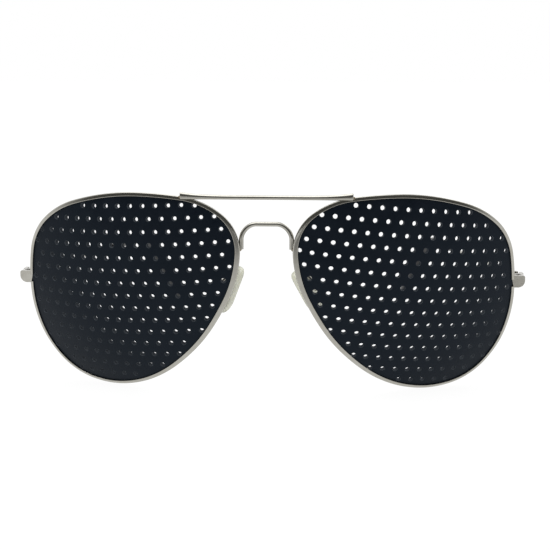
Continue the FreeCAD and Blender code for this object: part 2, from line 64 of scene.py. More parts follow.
class Side(Enum):
    """The two sides as seen from the front; the value mirrors X."""

    RIGHT = 1
    LEFT = -1

    @property
    def word(self) -> str:
        """The side's word in the names of nodes and bodies."""
        return self.name.lower()

    @property
    def mirror(self) -> np.ndarray:
        """The factors that take a right-hand point to this side."""
        return np.array([self.value, 1.0, 1.0])


# Vectors and curves


def unit(vectors: np.ndarray) -> np.ndarray:
    """Vectors along the last axis, each divided by its length."""
    return vectors / np.linalg.norm(vectors, axis=-1, keepdims=True)


def turning(axis: np.ndarray, angles: np.ndarray) -> np.ndarray:
    """Rotation matrices about one axis by Rodrigues' formula.

    The matrix is cos(a) I + sin(a) K + (1 - cos(a)) n n^T, with K the cross-product matrix of the unit axis n.

    Args:
        axis: the axis, of any length.
        angles: angles in radians, of any shape.

    Returns:
        One 3 x 3 matrix for each angle.
    """
    n = unit(np.asarray(axis, float))
    cross = np.array([[0, -n[2], n[1]], [n[2], 0, -n[0]], [-n[1], n[0], 0]])
    a = np.asarray(angles, float)[..., None, None]
    return np.cos(a) * np.eye(3) + np.sin(a) * cross + (1 - np.cos(a)) * np.outer(n, n)


def turned(vector: np.ndarray, axis: np.ndarray, degrees: float) -> np.ndarray:
    """A vector turned about an axis through the origin."""
    return turning(axis, np.radians(degrees)) @ np.asarray(vector, float)


@dataclass
class Path:
    """A line in space with a frame at each point.

    Args:
        points: the places, n x 3.
        frames: the frames, n x 3 x 3, whose columns are side, other side and the line's direction.
    """

    points: np.ndarray
    frames: np.ndarray

    @property
    def lengths(self) -> np.ndarray:
        """The distance along the line up to each point."""
        steps = np.linalg.norm(np.diff(self.points, axis=0), axis=1)
        return np.concatenate([[0.0], np.cumsum(steps)])

    def cut(self, start: float, end: float) -> "Path":
        """The stretch of the line between two distances along it."""
        at = self.lengths
        kept = (at > start) & (at < end)
        places = np.concatenate([[start], at[kept], [end]])
        points = np.stack([np.interp(places, at, self.points[:, i]) for i in range(3)], 1)
        nearest = np.clip(np.searchsorted(at, places), 0, len(at) - 1)
        return Path(points, self.frames[nearest])


def bent_path(corners: list, bend_radius: float, step: float = 0.35) -> Path:
    """Straight runs joined by tangent arcs; the frame keeps still on a run and turns with the arc in a bend.

    An arc's point is centre + turn(a) (start - centre), with a from nothing to the corner's angle.

    Args:
        corners: the run's corner points in order.
        bend_radius: the radius of each bend.
        step: the greatest distance between points in a bend.

    Returns:
        The path through all runs and bends.
    """
    corners = [np.asarray(c, float) for c in corners]
    way = unit(corners[1] - corners[0])
    side = unit(np.cross(way, UP if abs(way[2]) < 0.9 else np.array([0.0, 1.0, 0.0])))
    turn = np.stack([side, np.cross(way, side), way], 1)
    points, frames = [corners[0][None]], [turn[None]]
    for before, corner, after in zip(corners, corners[1:], corners[2:]):
        first, second = unit(corner - before), unit(after - corner)
        angle = math.acos(float(np.clip(first @ second, -1, 1)))
        start = corner - first * bend_radius * math.tan(angle / 2)
        axis = unit(np.cross(first, second))
        centre = start + np.cross(axis, first) * bend_radius
        count = max(LEAST_ARC_POINTS, int(angle * bend_radius / step) + 1)
        turns = turning(axis, np.linspace(0, angle, count + 1))
        points.append(centre + turns @ (start - centre))
        frames.append(turns @ turn)
        turn = turns[-1] @ turn
    points.append(corners[-1][None])
    frames.append(turn[None])
    return Path(np.concatenate(points), np.concatenate(frames))


# Meshes


def grid_faces(rows: int, columns: int, close_rows: bool, close_columns: bool) -> np.ndarray:
    """Four-cornered faces over a grid of vertices counted row by row.

    Args:
        rows: the number of rows.
        columns: the number of vertices in a row.
        close_rows: whether the last row joins the first.
        close_columns: whether each row's end joins its start.

    Returns:
        The vertex numbers of each face.
    """
    i = np.arange(rows if close_rows else rows - 1)[:, None]
    j = np.arange(columns if close_columns else columns - 1)[None, :]
    i2, j2 = (i + 1) % rows, (j + 1) % columns
    faces = [i * columns + j, i * columns + j2, i2 * columns + j2, i2 * columns + j]
    return np.stack(np.broadcast_arrays(*faces), -1).reshape(-1, 4)


def signed_volume(points: np.ndarray, faces: list) -> float:
    """The volume inside closed faces, by summing the tetrahedra from the origin to each fan triangle."""
    total = 0.0
    for size in {len(f) for f in faces}:
        ring = points[np.array([f for f in faces if len(f) == size])]
        for k in range(1, size - 1):
            total += float(np.einsum("ij,ij->", ring[:, 0], np.cross(ring[:, k], ring[:, k + 1])))
    return total / 6


@dataclass
class Solid:
    """Closed faces, gathered before they become one mesh."""

    points: np.ndarray
    faces: list

    @staticmethod
    def lofted(rings: np.ndarray) -> "Solid":
        """A closed skin over rings of points, with a flat face or a pole at each end.

        Args:
            rings: rows x columns x 3 points; each row is a closed ring.
        """
        rows, columns = rings.shape[:2]
        faces = grid_faces(rows, columns, False, True).tolist()
        faces += [list(range(columns))[::-1], [(rows - 1) * columns + k for k in range(columns)]]
        return Solid(rings.reshape(-1, 3), faces)

    def moved(self, turn: np.ndarray, shift: np.ndarray) -> "Solid":
        """The solid turned by a matrix and then shifted."""
        return Solid(self.points @ np.asarray(turn).T + shift, self.faces)


def linked(name: str, data: bpy.types.ID) -> bpy.types.Object:
    """A new object with its data, linked to the scene."""
    made = bpy.data.objects.new(name, data)
    bpy.context.scene.collection.objects.link(made)
    return made


def mesh_object(
    name: str, solid: Solid, sharp_angle: float = 40.0, normals: np.ndarray = None
) -> bpy.types.Object:
    """An object from a solid in its final place, in metres, with its faces outwards.

    Args:
        name: the piece's name.
        solid: the faces, in metres.
        sharp_angle: edges that turn by more than this many degrees stay sharp.
        normals: one normal for each vertex, where the shape's own formula gives them.

    Returns:
        The object, linked to the scene.
    """
    faces = solid.faces
    if signed_volume(solid.points, faces) < 0:
        faces = [list(reversed(f)) for f in faces]
    mesh = bpy.data.meshes.new(name)
    mesh.from_pydata(solid.points.tolist(), [], faces)
    mesh.validate()
    mesh.shade_smooth()
    if normals is None:
        mesh.set_sharp_from_angle(angle=math.radians(sharp_angle))
    else:
        mesh.normals_split_custom_set_from_vertices(normals.tolist())
    return linked(name, mesh)


def tube(path: Path, radii: np.ndarray, around: int = 32, flatten: np.ndarray = None) -> Solid:
    """A round or oval rod along a path.

    A ring's point is p + r (cos(a) side + f sin(a) other side), with f the flattening.

    Args:
        path: the middle line.
        radii: the radius at each point of the path.
        around: the number of points round a ring.
        flatten: the other side's share of the radius at each point of the path.
    """
    radii = np.broadcast_to(np.asarray(radii, float), len(path.points))
    flat = np.ones(len(radii)) if flatten is None else np.asarray(flatten, float)
    a = np.linspace(0, 2 * np.pi, around, endpoint=False)
    side = path.frames[:, None, :, 0] * np.cos(a)[None, :, None]
    other = path.frames[:, None, :, 1] * (np.sin(a)[None, :, None] * flat[:, None, None])
    rings = path.points[:, None, :] + radii[:, None, None] * (side + other)
    return Solid.lofted(rings)


def rounded_ends(path: Path, radii: np.ndarray, start_round: float, end_round: float, steps: int = 6) -> tuple:
    """A path and its radii with quarter-round edges added inside both ends.

    The radius falls by round (1 - cos(t)) while the ring moves out by round sin(t), t up to a quarter turn.

    Args:
        path: the middle line.
        radii: the radius at each point.
        start_round: the edge's radius at the start.
        end_round: the edge's radius at the end.
        steps: the number of rings in an edge.

    Returns:
        The new path and radii.
    """
    radii = np.broadcast_to(np.asarray(radii, float), len(path.points))
    total, at = path.lengths[-1], path.lengths
    inner = path.cut(start_round, total - end_round)
    inner_radii = np.interp(inner.lengths + start_round, at, radii)
    t = np.linspace(0, np.pi / 2, steps + 1)[1:]
    ends = []
    for index, size, sign in ((0, start_round, -1), (-1, end_round, 1)):
        out = inner.points[index] + sign * size * np.sin(t)[:, None] * inner.frames[index][:, 2]
        ends.append((out, inner_radii[index] - size * (1 - np.cos(t))))
    points = np.concatenate([ends[0][0][::-1], inner.points, ends[1][0]])
    frames = np.concatenate([
        np.repeat(inner.frames[:1], steps, 0), inner.frames, np.repeat(inner.frames[-1:], steps, 0)
    ])
    return Path(points, frames), np.concatenate([ends[0][1][::-1], inner_radii, ends[1][1]])


def merged_copy(name: str, nodes: list, bevel: float, sharp_angle: float = 35.0) -> bpy.types.Object:
    """A CAD node's mesh as a new piece, with its loose triangles joined and its edges broken.

    Args:
        name: the new piece's name.
        nodes: the names of the CAD nodes that it stands for.
        bevel: the width of the broken edges, in millimetres.
        sharp_angle: edges that turn by more than this many degrees are broken.

    Returns:
        The object, which replaces the nodes.
    """
    source = frame["nodes"][nodes[0]]
    mesh = bpy.data.meshes.new(name)
    count = len(source.data.vertices)
    points = np.empty(count * 3)
    source.data.vertices.foreach_get("co", points)
    corners = np.empty(len(source.data.loops), int)
    source.data.loops.foreach_get("vertex_index", corners)
    _, first, back = np.unique(
        np.round(points.reshape(-1, 3) / MERGE_DISTANCE), axis=0, return_index=True, return_inverse=True
    )
    triangles = back.reshape(-1)[corners].reshape(-1, 3)
    whole = (triangles[:, 0] != triangles[:, 1]) & (triangles[:, 1] != triangles[:, 2])
    whole &= triangles[:, 0] != triangles[:, 2]
    mesh.from_pydata(points.reshape(-1, 3)[first].tolist(), [], triangles[whole].tolist())
    mesh.validate()
    mesh.shade_smooth()
    mesh.set_sharp_from_angle(angle=math.radians(sharp_angle))
    made = linked(name, mesh)
    if bevel:
        broken = made.modifiers.new("broken_edges", "BEVEL")
        broken.width = bevel * MM
        broken.segments = 2
        broken.limit_method = "ANGLE"
        broken.angle_limit = math.radians(sharp_angle)
        broken.harden_normals = True
    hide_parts(*nodes)
    return made


# Shading


Term = bpy.types.NodeSocket | float | tuple


class Nodes:
    """A node tree with short calls for adding and joining nodes."""

    def __init__(self, tree: bpy.types.NodeTree) -> None:
        """Takes the tree to work in."""
        self.tree = tree

    @staticmethod
    def of(owner: bpy.types.ID) -> "Nodes":
        """The emptied node tree of a new material or world."""
        owner.use_nodes = True
        owner.node_tree.nodes.clear()
        return Nodes(owner.node_tree)

    def add(self, kind: str, settings: dict = None, **inputs) -> bpy.types.Node:
        """Adds a node, sets its settings, and sets or links its inputs.

        Args:
            kind: the node's type.
            settings: attributes to set on the node.
            inputs: an input's name with underscores for spaces, and a value or an output to link to it.

        Returns:
            The node.
        """
        node = self.tree.nodes.new(kind)
        for name, value in (settings or {}).items():
            setattr(node, name, value)
        for name, value in inputs.items():
            socket = node.inputs[int(name[1:])] if name[1:].isdigit() else node.inputs[name.replace("_", " ")]
            self.feed(socket, value)
        return node

    def feed(self, socket: bpy.types.NodeSocket, value: Term) -> None:
        """Links an output to an input, or sets the input to a value."""
        if isinstance(value, bpy.types.NodeSocket):
            self.link(value, socket)
        else:
            socket.default_value = value

    def link(self, output: bpy.types.NodeSocket, socket: bpy.types.NodeSocket) -> None:
        """Links an output to an input."""
        self.tree.links.new(output, socket)

    def value(self, operation: str, *terms: Term) -> bpy.types.NodeSocket:
        """The result of a math operation on values or outputs."""
        terms = {f"i{k}": term for k, term in enumerate(terms)}
        return self.add("ShaderNodeMath", {"operation": operation}, **terms).outputs[0]

    def blend(self, factor: Term, first: Term, second: Term) -> bpy.types.NodeSocket:
        """A colour between two colours."""
        node = self.add("ShaderNodeMix", {"data_type": "RGBA"})
        for index, value in ((0, factor), (6, first), (7, second)):
            self.feed(node.inputs[index], value)
        return node.outputs[2]

    def spread(
        self, value: Term, low: float, high: float, to_low: Term = 0.0, to_high: Term = 1.0
    ) -> bpy.types.NodeSocket:
        """A value between low and high, carried over to another span and kept inside it."""
        return self.add(
            "ShaderNodeMapRange", None, Value=value, From_Min=low, From_Max=high, To_Min=to_low, To_Max=to_high
        ).outputs[0]


def group(name: str, inputs: list, outputs: list) -> tuple:
    """A new shader node group with named sockets.

    Args:
        name: the group's name.
        inputs: name, socket type and first value of each input.
        outputs: name and socket type of each output.

    Returns:
        The group, its nodes, its input node and its output node.
    """
    tree = bpy.data.node_groups.new(name, "ShaderNodeTree")
    for label, kind, first in inputs:
        socket = tree.interface.new_socket(label, in_out="INPUT", socket_type=kind)
        socket.default_value = first
    for label, kind in outputs:
        tree.interface.new_socket(label, in_out="OUTPUT", socket_type=kind)
    nodes = Nodes(tree)
    return tree, nodes, nodes.add("NodeGroupInput"), nodes.add("NodeGroupOutput")


FLOAT, COLOUR = "NodeSocketFloat", "NodeSocketColor"


def mottle_group() -> bpy.types.NodeTree:
    """Slow and fine unevenness of a surface: a colour between clean and stained, and a roughness."""
    tree, nodes, inside, out = group(
        "mottle",
        [("Clean", COLOUR, (0.5, 0.5, 0.5, 1)), ("Stain", COLOUR, (0.4, 0.4, 0.4, 1)), ("Amount", FLOAT, 0.5),
         ("Scale", FLOAT, 300.0), ("Smooth", FLOAT, 0.2), ("Dull", FLOAT, 0.4)],
        [("Color", COLOUR), ("Roughness", FLOAT)],
    )
    place = nodes.add("ShaderNodeTexCoord").outputs["Object"]
    finer_by, fine_share, low, high = 7.0, 0.35, 0.38, 0.62
    wide = nodes.add("ShaderNodeTexNoise", None, Vector=place, Scale=inside.outputs["Scale"], Detail=4.0)
    finer = nodes.value("MULTIPLY", inside.outputs["Scale"], finer_by)
    fine = nodes.add("ShaderNodeTexNoise", None, Vector=place, Scale=finer, Detail=3.0)
    rest = nodes.value("MULTIPLY", wide.outputs[0], 1 - fine_share)
    uneven = nodes.spread(nodes.value("MULTIPLY_ADD", fine.outputs[0], fine_share, rest), low, high)
    share = nodes.value("MULTIPLY", uneven, inside.outputs["Amount"])
    nodes.link(nodes.blend(share, inside.outputs["Clean"], inside.outputs["Stain"]), out.inputs["Color"])
    rough = nodes.spread(uneven, 0.0, 1.0, inside.outputs["Smooth"], inside.outputs["Dull"])
    nodes.link(rough, out.inputs["Roughness"])
    return tree


def hairline_group() -> bpy.types.NodeTree:
    """Fine handling scratches in crossing directions, as a height from 0 to 1."""
    tree, nodes, inside, out = group(
        "hairlines", [("Scale", FLOAT, 400.0), ("Stretch", FLOAT, 12.0)], [("Height", FLOAT)]
    )
    place = nodes.add("ShaderNodeTexCoord").outputs["Object"]
    heights, turns, low, high = [], ((0.3, 0.5, 0.2), (1.1, 0.2, 1.4)), 0.55, 0.7
    for turn in turns:
        mapped = nodes.add("ShaderNodeMapping", None, Vector=place, Rotation=turn)
        squeeze = nodes.add("ShaderNodeCombineXYZ", None, X=1.0, Y=inside.outputs["Stretch"], Z=1.0)
        narrow = nodes.add(
            "ShaderNodeVectorMath", {"operation": "MULTIPLY"}, i0=mapped.outputs[0], i1=squeeze.outputs[0]
        )
        lines = nodes.add(
            "ShaderNodeTexNoise", None, Vector=narrow.outputs[0], Scale=inside.outputs["Scale"], Detail=2.0
        )
        heights.append(nodes.spread(lines.outputs[0], low, high))
    nodes.link(nodes.value("MAXIMUM", *heights), out.inputs["Height"])
    return tree


def grain_group() -> bpy.types.NodeTree:
    """The fine grain of a moulded or plated skin, as a height from 0 to 1."""
    tree, nodes, inside, out = group("grain", [("Scale", FLOAT, 3000.0)], [("Height", FLOAT)])
    place = nodes.add("ShaderNodeTexCoord").outputs["Object"]
    cells = nodes.add("ShaderNodeTexVoronoi", None, Vector=place, Scale=inside.outputs["Scale"])
    noise = nodes.add("ShaderNodeTexNoise", None, Vector=place, Scale=inside.outputs["Scale"], Detail=4.0)
    nodes.link(nodes.value("MULTIPLY", cells.outputs[0], noise.outputs[0]), out.inputs["Height"])
    return tree


def dust_group() -> bpy.types.NodeTree:
    """Sparse specks of dust and lint, as a mask."""
    tree, nodes, inside, out = group("dust", [("Scale", FLOAT, 900.0), ("Amount", FLOAT, 0.5)], [("Mask", FLOAT)])
    place = nodes.add("ShaderNodeTexCoord").outputs["Object"]
    specks = nodes.add("ShaderNodeTexVoronoi", None, Vector=place, Scale=inside.outputs["Scale"])
    speck_size, veil_scale, veil_low, veil_high = 0.16, 120.0, 0.5, 0.7
    near = nodes.spread(specks.outputs[0], 0.0, speck_size, 1.0, 0.0)
    veil = nodes.add("ShaderNodeTexNoise", None, Vector=place, Scale=veil_scale, Detail=3.0)
    mask = nodes.value("MULTIPLY", near, nodes.spread(veil.outputs[0], veil_low, veil_high))
    nodes.link(nodes.value("MULTIPLY", mask, inside.outputs["Amount"]), out.inputs["Mask"])
    return tree


GROUPS = {
    "mottle": mottle_group(), "hairlines": hairline_group(), "grain": grain_group(), "dust": dust_group()
}


def placed_group(nodes: Nodes, name: str, **inputs) -> bpy.types.Node:
    """One of the shared groups, placed in a material with its own values."""
    node = nodes.add("ShaderNodeGroup", {"node_tree": GROUPS[name]})
    for label, value in inputs.items():
        node.inputs[label].default_value = value
    return node


@dataclass(frozen=True)
class Skin:
    """What every finish has: two mottled tones with a roughness each, over layers of relief."""

    name: str
    clean: tuple
    stain: tuple
    smooth: float
    dull: float

    def started(self, amount: float, scale: float, **values) -> tuple:
        """Starts the material.

        Args:
            amount: how much of the stain shows.
            scale: the scale of the mottle.
            values: the shader's own inputs, with underscores for spaces.

        Returns:
            The material, its nodes, its shader and the mottled colour.
        """
        material = bpy.data.materials.new(self.name)
        nodes = Nodes.of(material)
        shader = nodes.add("ShaderNodeBsdfPrincipled", None, **values)
        nodes.add("ShaderNodeOutputMaterial", None, Surface=shader.outputs[0])
        mottle = placed_group(
            nodes, "mottle", Clean=self.clean, Stain=self.stain, Amount=amount, Scale=scale, Smooth=self.smooth,
            Dull=self.dull,
        )
        nodes.link(mottle.outputs["Roughness"], shader.inputs["Roughness"])
        return material, nodes, shader, mottle.outputs["Color"]

    def relieved(self, nodes: Nodes, shader: bpy.types.Node, *layers) -> None:
        """Gives a shader its relief.

        Args:
            nodes: the material's nodes.
            shader: the shader.
            layers: the height's node, the depth in metres and the strength of each layer, the lowest first.
        """
        normal = None
        for source, depth, strength in layers:
            bump = nodes.add("ShaderNodeBump", None, Height=source.outputs[0], Distance=depth, Strength=strength)
            if normal is not None:
                nodes.link(normal, bump.inputs["Normal"])
            normal = bump.outputs[0]
        nodes.link(normal, shader.inputs["Normal"])


@dataclass(frozen=True)
class MetalFinish(Skin):
    """A plated or bare metal with stains, scratches and grain."""

    stain_amount: float = 0.5
    stain_scale: float = 140.0
    scratch: float = 0.10
    scratch_scale: float = 700.0
    scratch_stretch: float = 14.0
    scratch_depth: float = 0.000006
    grain: float = 0.25
    grain_scale: float = 5200.0
    grain_depth: float = 0.000002
    anisotropic: float = 0.0

    def build(self) -> bpy.types.Material:
        """Makes the material."""
        material, nodes, shader, colour = self.started(
            self.stain_amount, self.stain_scale, Metallic=1.0, Anisotropic=self.anisotropic
        )
        nodes.link(colour, shader.inputs["Base Color"])
        grain = placed_group(nodes, "grain", Scale=self.grain_scale)
        lines = placed_group(nodes, "hairlines", Scale=self.scratch_scale, Stretch=self.scratch_stretch)
        self.relieved(nodes, shader, (grain, self.grain_depth, self.grain), (lines, self.scratch_depth, self.scratch))
        return material


@dataclass(frozen=True)
class MouldedFinish(Skin):
    """A moulded plastic with a fine grain, dust and scratches."""

    dust: tuple = (0.03, 0.03, 0.03, 1)
    dust_amount: float = 0.5
    dust_scale: float = 1300.0
    stain_scale: float = 160.0
    specular: float = 0.1
    tint: tuple = (1.0, 1.0, 1.0, 1)
    coat: float = 0.0
    coat_roughness: float = 0.12
    scratch: float = 0.15
    scratch_scale: float = 260.0
    scratch_stretch: float = 16.0
    scratch_depth: float = 0.00001
    grain: float = 0.35
    grain_scale: float = 2600.0
    grain_depth: float = 0.00003

    def build(self) -> bpy.types.Material:
        """Makes the material."""
        material, nodes, shader, colour = self.started(
            1.0, self.stain_scale, Specular_IOR_Level=self.specular, Specular_Tint=self.tint, Coat_Weight=self.coat,
            Coat_Roughness=self.coat_roughness,
        )
        dust = placed_group(nodes, "dust", Scale=self.dust_scale, Amount=self.dust_amount)
        nodes.link(nodes.blend(dust.outputs["Mask"], colour, self.dust), shader.inputs["Base Color"])
        grain = placed_group(nodes, "grain", Scale=self.grain_scale)
        lines = placed_group(nodes, "hairlines", Scale=self.scratch_scale, Stretch=self.scratch_stretch)
        self.relieved(nodes, shader, (grain, self.grain_depth, self.grain), (lines, self.scratch_depth, self.scratch))
        return material


@dataclass(frozen=True)
class ClearFinish(Skin):
    """A clear or milky plastic or silicone, with painted edge shade: another tone blended in where the surface turns
    away from the view.
    """

    transmission: float = 0.0
    ior: float = 1.45
    subsurface: float = 0.0
    subsurface_radius: tuple = (1.0, 0.95, 0.8)
    subsurface_scale: float = 0.0015
    # Painted edge shade: edge is a darker tone that stands in for the shade of light bent at a clear part's
    # turned-away rim.
    edge: tuple = (0.8, 0.8, 0.74, 1)
    edge_from: float = 0.25
    edge_to: float = 0.85
    stain_scale: float = 90.0
    grain: float = 0.1
    grain_scale: float = 900.0
    grain_depth: float = 0.000001

    def build(self) -> bpy.types.Material:
        """Makes the material."""
        material, nodes, shader, colour = self.started(
            1.0, self.stain_scale, Transmission_Weight=self.transmission, IOR=self.ior,
            Subsurface_Weight=self.subsurface, Subsurface_Radius=self.subsurface_radius,
            Subsurface_Scale=self.subsurface_scale,
        )
        # Painted edge shade: the base colour turns to the edge tone where the surface faces away from the view.
        facing = nodes.add("ShaderNodeLayerWeight", None, Blend=0.5).outputs["Facing"]
        away = nodes.spread(facing, self.edge_from, self.edge_to)
        nodes.link(nodes.blend(away, colour, self.edge), shader.inputs["Base Color"])
        grain = placed_group(nodes, "grain", Scale=self.grain_scale)
        self.relieved(nodes, shader, (grain, self.grain_depth, self.grain))
        return material


class Finish(Enum):
    """Every finish on the glasses."""

    FRAME_METAL = MetalFinish(
        "satin_nickel", clean=(0.44, 0.43, 0.39, 1), stain=(0.34, 0.325, 0.28, 1), smooth=0.09, dull=0.16
    )
    SOLDER = MetalFinish(
        "aged_solder", clean=(0.36, 0.33, 0.26, 1), stain=(0.15, 0.11, 0.06, 1), smooth=0.22, dull=0.42,
        stain_amount=1.0, stain_scale=900.0, scratch=0.3,
    )
    SCREW_STEEL = MetalFinish(
        "screw_steel", clean=(0.56, 0.55, 0.52, 1), stain=(0.36, 0.34, 0.30, 1), smooth=0.18, dull=0.34,
        stain_amount=0.6, stain_scale=1500.0, scratch=0.3, anisotropic=0.3,
    )
    PLATE_PLASTIC = MouldedFinish(
        "black_plate", clean=(0.0026, 0.0044, 0.0084, 1), stain=(0.0044, 0.0066, 0.0112, 1), smooth=0.38, dull=0.5,
        dust=(0.03, 0.034, 0.04, 1), specular=0.16, tint=(0.66, 0.84, 1.0, 1),
    )
    # Painted light: the bore walls are the plate's own black plastic made much lighter, so the holes show lit
    # crescents on their walls.
    BORE_WALL = MouldedFinish(
        "black_bore_wall", clean=(0.058, 0.066, 0.078, 1), stain=(0.078, 0.088, 0.100, 1), smooth=0.7, dull=0.9,
        dust=(0.10, 0.10, 0.10, 1), specular=0.02,
    )
    TIP_PLASTIC = MouldedFinish(
        "black_sleeve", clean=(0.010, 0.010, 0.011, 1), stain=(0.016, 0.016, 0.017, 1), smooth=0.26, dull=0.4,
        dust=(0.09, 0.09, 0.09, 1), dust_amount=0.35, specular=0.25, coat=0.05,
    )
    # Both clear finishes carry painted edge shade; the pads' edge tone is much darker than the silicone itself.
    PAD_SILICONE = ClearFinish(
        "milky_silicone", clean=(0.84, 0.84, 0.72, 1), stain=(0.78, 0.78, 0.65, 1), smooth=0.24, dull=0.32,
        ior=1.41, subsurface=0.15, edge=(0.42, 0.43, 0.32, 1),
    )
    CORE_PLASTIC = ClearFinish(
        "clear_core", clean=(0.86, 0.87, 0.82, 1), stain=(0.80, 0.80, 0.73, 1), smooth=0.05, dull=0.16,
        transmission=0.9, ior=1.49,
    )

    @property
    def slot(self) -> str:
        """The record's material slot."""
        return {"SOLDER": "frame_metal", "BORE_WALL": "plate_plastic"}.get(self.name, self.name.lower())


MATERIALS: dict = {}


def material_of(finish: Finish) -> bpy.types.Material:
    """A finish's material, made the first time that it is asked for."""
    if finish not in MATERIALS:
        MATERIALS[finish] = finish.value.build()
    return MATERIALS[finish]


def dress(piece: bpy.types.Object, finish: Finish, body: str, *nodes: str) -> bpy.types.Object:
    """Gives a piece its finish and its body, and hides the nodes that it stands for.

    Args:
        piece: the object.
        finish: its finish.
        body: the CAD body that it moves with.
        nodes: the CAD nodes that it replaces.

    Returns:
        The same object.
    """
    piece.data.materials.clear()
    piece.data.materials.append(material_of(finish))
    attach(piece, body)
    if nodes:
        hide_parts(*nodes)
    LOG.info("piece %s, %d faces, %s", piece.name, len(piece.data.polygons), finish.name)
    return piece


# The frame's geometry


def joint_named(name: str) -> dict:
    """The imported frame's joint of that name."""
    return next(joint for joint in frame["joints"] if joint["name"] == name)


@dataclass(frozen=True)
class Lens:
    """The right lens surface, a part of a ball, in the wearing frame in millimetres."""

    distance: float = 79.55
    radius: float = 88.6
    width: float = 69.0
    height: float = 60.6
    wrap: float = 16.2
    tilt: float = 12.6

    @property
    def centre(self) -> np.ndarray:
        """The lens centre."""
        return np.array([self.distance / 2, 0, 0])

    @property
    def axes(self) -> np.ndarray:
        """Columns across, inward and up."""
        wrap = turning(UP, np.radians(self.wrap))
        return wrap @ turning(np.array([1.0, 0, 0]), np.radians(self.tilt))

    @property
    def ball(self) -> np.ndarray:
        """The ball's centre."""
        return self.centre + self.axes[:, 1] * self.radius

    def flat_size(self, size: float) -> float:
        """A size on the ball near the outline as it measures on the plane that touches the lens centre."""
        return size * (1 + ((self.width + self.height) / 4 / self.radius) ** 2)

    def ways(self, flat: np.ndarray) -> np.ndarray:
        """Unit vectors from the ball's centre to points of the flat plane."""
        place = self.centre + flat[..., :1] * self.axes[:, 0] + flat[..., 1:2] * self.axes[:, 2]
        return unit(place - self.ball)

    def at(self, flat: np.ndarray, outwards: np.ndarray) -> np.ndarray:
        """Points in front of flat points, at a distance outwards from the lens surface."""
        return self.ball + self.ways(flat) * (self.radius + np.asarray(outwards, float))[..., None]

    def flat(self, ways: np.ndarray) -> np.ndarray:
        """The flat points of unit vectors from the ball's centre."""
        local = ways @ self.axes
        return np.stack([-local[..., 0], -local[..., 2]], -1) * self.radius / local[..., 1:2]


@dataclass(frozen=True)
class Outline:
    """The plate's outline: tangent arcs, two between each pair of nodes.

    Args:
        lens: the lens surface.
        nodes: each node's place as shares of half the width and half the height, and its heading in degrees.
        step: the distance between points along the arcs.
    """

    lens: Lens
    nodes: tuple = (
        (0.942, 0.391, 99.2), (0.463, 0.914, 161.9), (-0.158, 1.017, 180.3), (-0.872, 0.833, 222.3),
        (-0.877, 0.000, 296.9), (-0.538, -0.515, 312.1), (-0.133, -0.856, 330.4), (0.488, -0.963, 372.9),
        (0.955, -0.396, 437.9),
    )
    step: float = 0.55

    def samples(self) -> tuple:
        """Flat points and outward directions along the whole outline.

        Two arcs with ways u and v at their far ends meet at (p + q + (u - v) d) / 2, where d solves the
        quadratic that makes the arcs tangent. An arc's point is start + way r (sin(a) + i (1 - cos(a))).
        """
        nodes = np.array(self.nodes)
        half = np.array([self.lens.width / 2, self.lens.height / 2])
        places = nodes[:, :2] * half @ np.array([1, 1j])
        heading = np.radians(nodes[:, 2])
        ways = np.cos(heading) * self.lens.width + 1j * np.sin(heading) * self.lens.height
        ways /= np.abs(ways)
        points, tangents = [], []
        for start, way, end, end_way in zip(places, ways, np.roll(places, -1), np.roll(ways, -1)):
            span = end - start
            bend = 2 * (1 - (way.conjugate() * end_way).real)
            along = (span.conjugate() * (way + end_way)).real
            reach = (math.sqrt(along ** 2 + bend * abs(span) ** 2) - along) / bend
            joint = (start + end + (way - end_way) * reach) / 2
            for p, q in ((start, joint), (joint, end)):
                chord = q - p
                turn = np.angle(chord / way)
                radius = abs(chord) / (2 * math.sin(turn))
                count = max(LEAST_ARC_POINTS, int(abs(2 * turn * radius) / self.step))
                a = 2 * turn * np.arange(count) / count
                points.append(p + way * radius * (np.sin(a) + 1j * (1 - np.cos(a))))
                tangents.append(way * np.exp(1j * a))
                way = way * np.exp(2j * turn)
        z, t = np.concatenate(points), np.concatenate(tangents)
        outward = -1j * t
        return np.stack([z.real, z.imag], 1), np.stack([outward.real, outward.imag], 1)

    def loop(self, outset: float) -> np.ndarray:
        """Flat points of the outline moved outwards, square to the way it runs."""
        points, outward = self.samples()
        return points + outward * self.lens.flat_size(outset)


@dataclass(frozen=True)
class Stand:
    """The turn and shift from the wearing frame, in millimetres, to the standing frame, in metres."""

    turn: np.ndarray
    shift: np.ndarray

    @staticmethod
    def found(lens: Lens, outline: Outline, thickness: float) -> "Stand":
        """The stand that the CAD model has: the turn from the hinge's axis, the shift from the plate's box."""
        axis = np.array(joint_named("right_temple_fold")["axis"])
        turn = turning(np.array([1.0, 0, 0]), math.atan2(-axis[1], axis[2]))
        edge = outline.loop(0.0)
        points = np.concatenate([lens.at(edge, 0.0 * edge[:, 0]), lens.at(edge, 0.0 * edge[:, 0] - thickness)])
        turned_points = points @ turn.T
        low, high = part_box("right_pinhole_plate")
        middle = (np.array(low) + np.array(high)) / 2 / MM
        shift = middle - (turned_points.min(0) + turned_points.max(0)) / 2
        return Stand(turn, np.array([0.0, shift[1], shift[2]]))

    def place(self, points: np.ndarray, side: Side = Side.RIGHT) -> np.ndarray:
        """Points of the wearing frame in the standing frame, in metres, mirrored for the left side."""
        return ((points * side.mirror) @ self.turn.T + self.shift) * MM

    def put(self, solid: Solid, side: Side = Side.RIGHT) -> Solid:
        """A solid of the wearing frame in the standing frame."""
        return Solid(self.place(solid.points, side), solid.faces)

    def back(self, points: np.ndarray) -> np.ndarray:
        """Points of the standing frame, in metres, in the wearing frame."""
        return (np.asarray(points) / MM - self.shift) @ self.turn


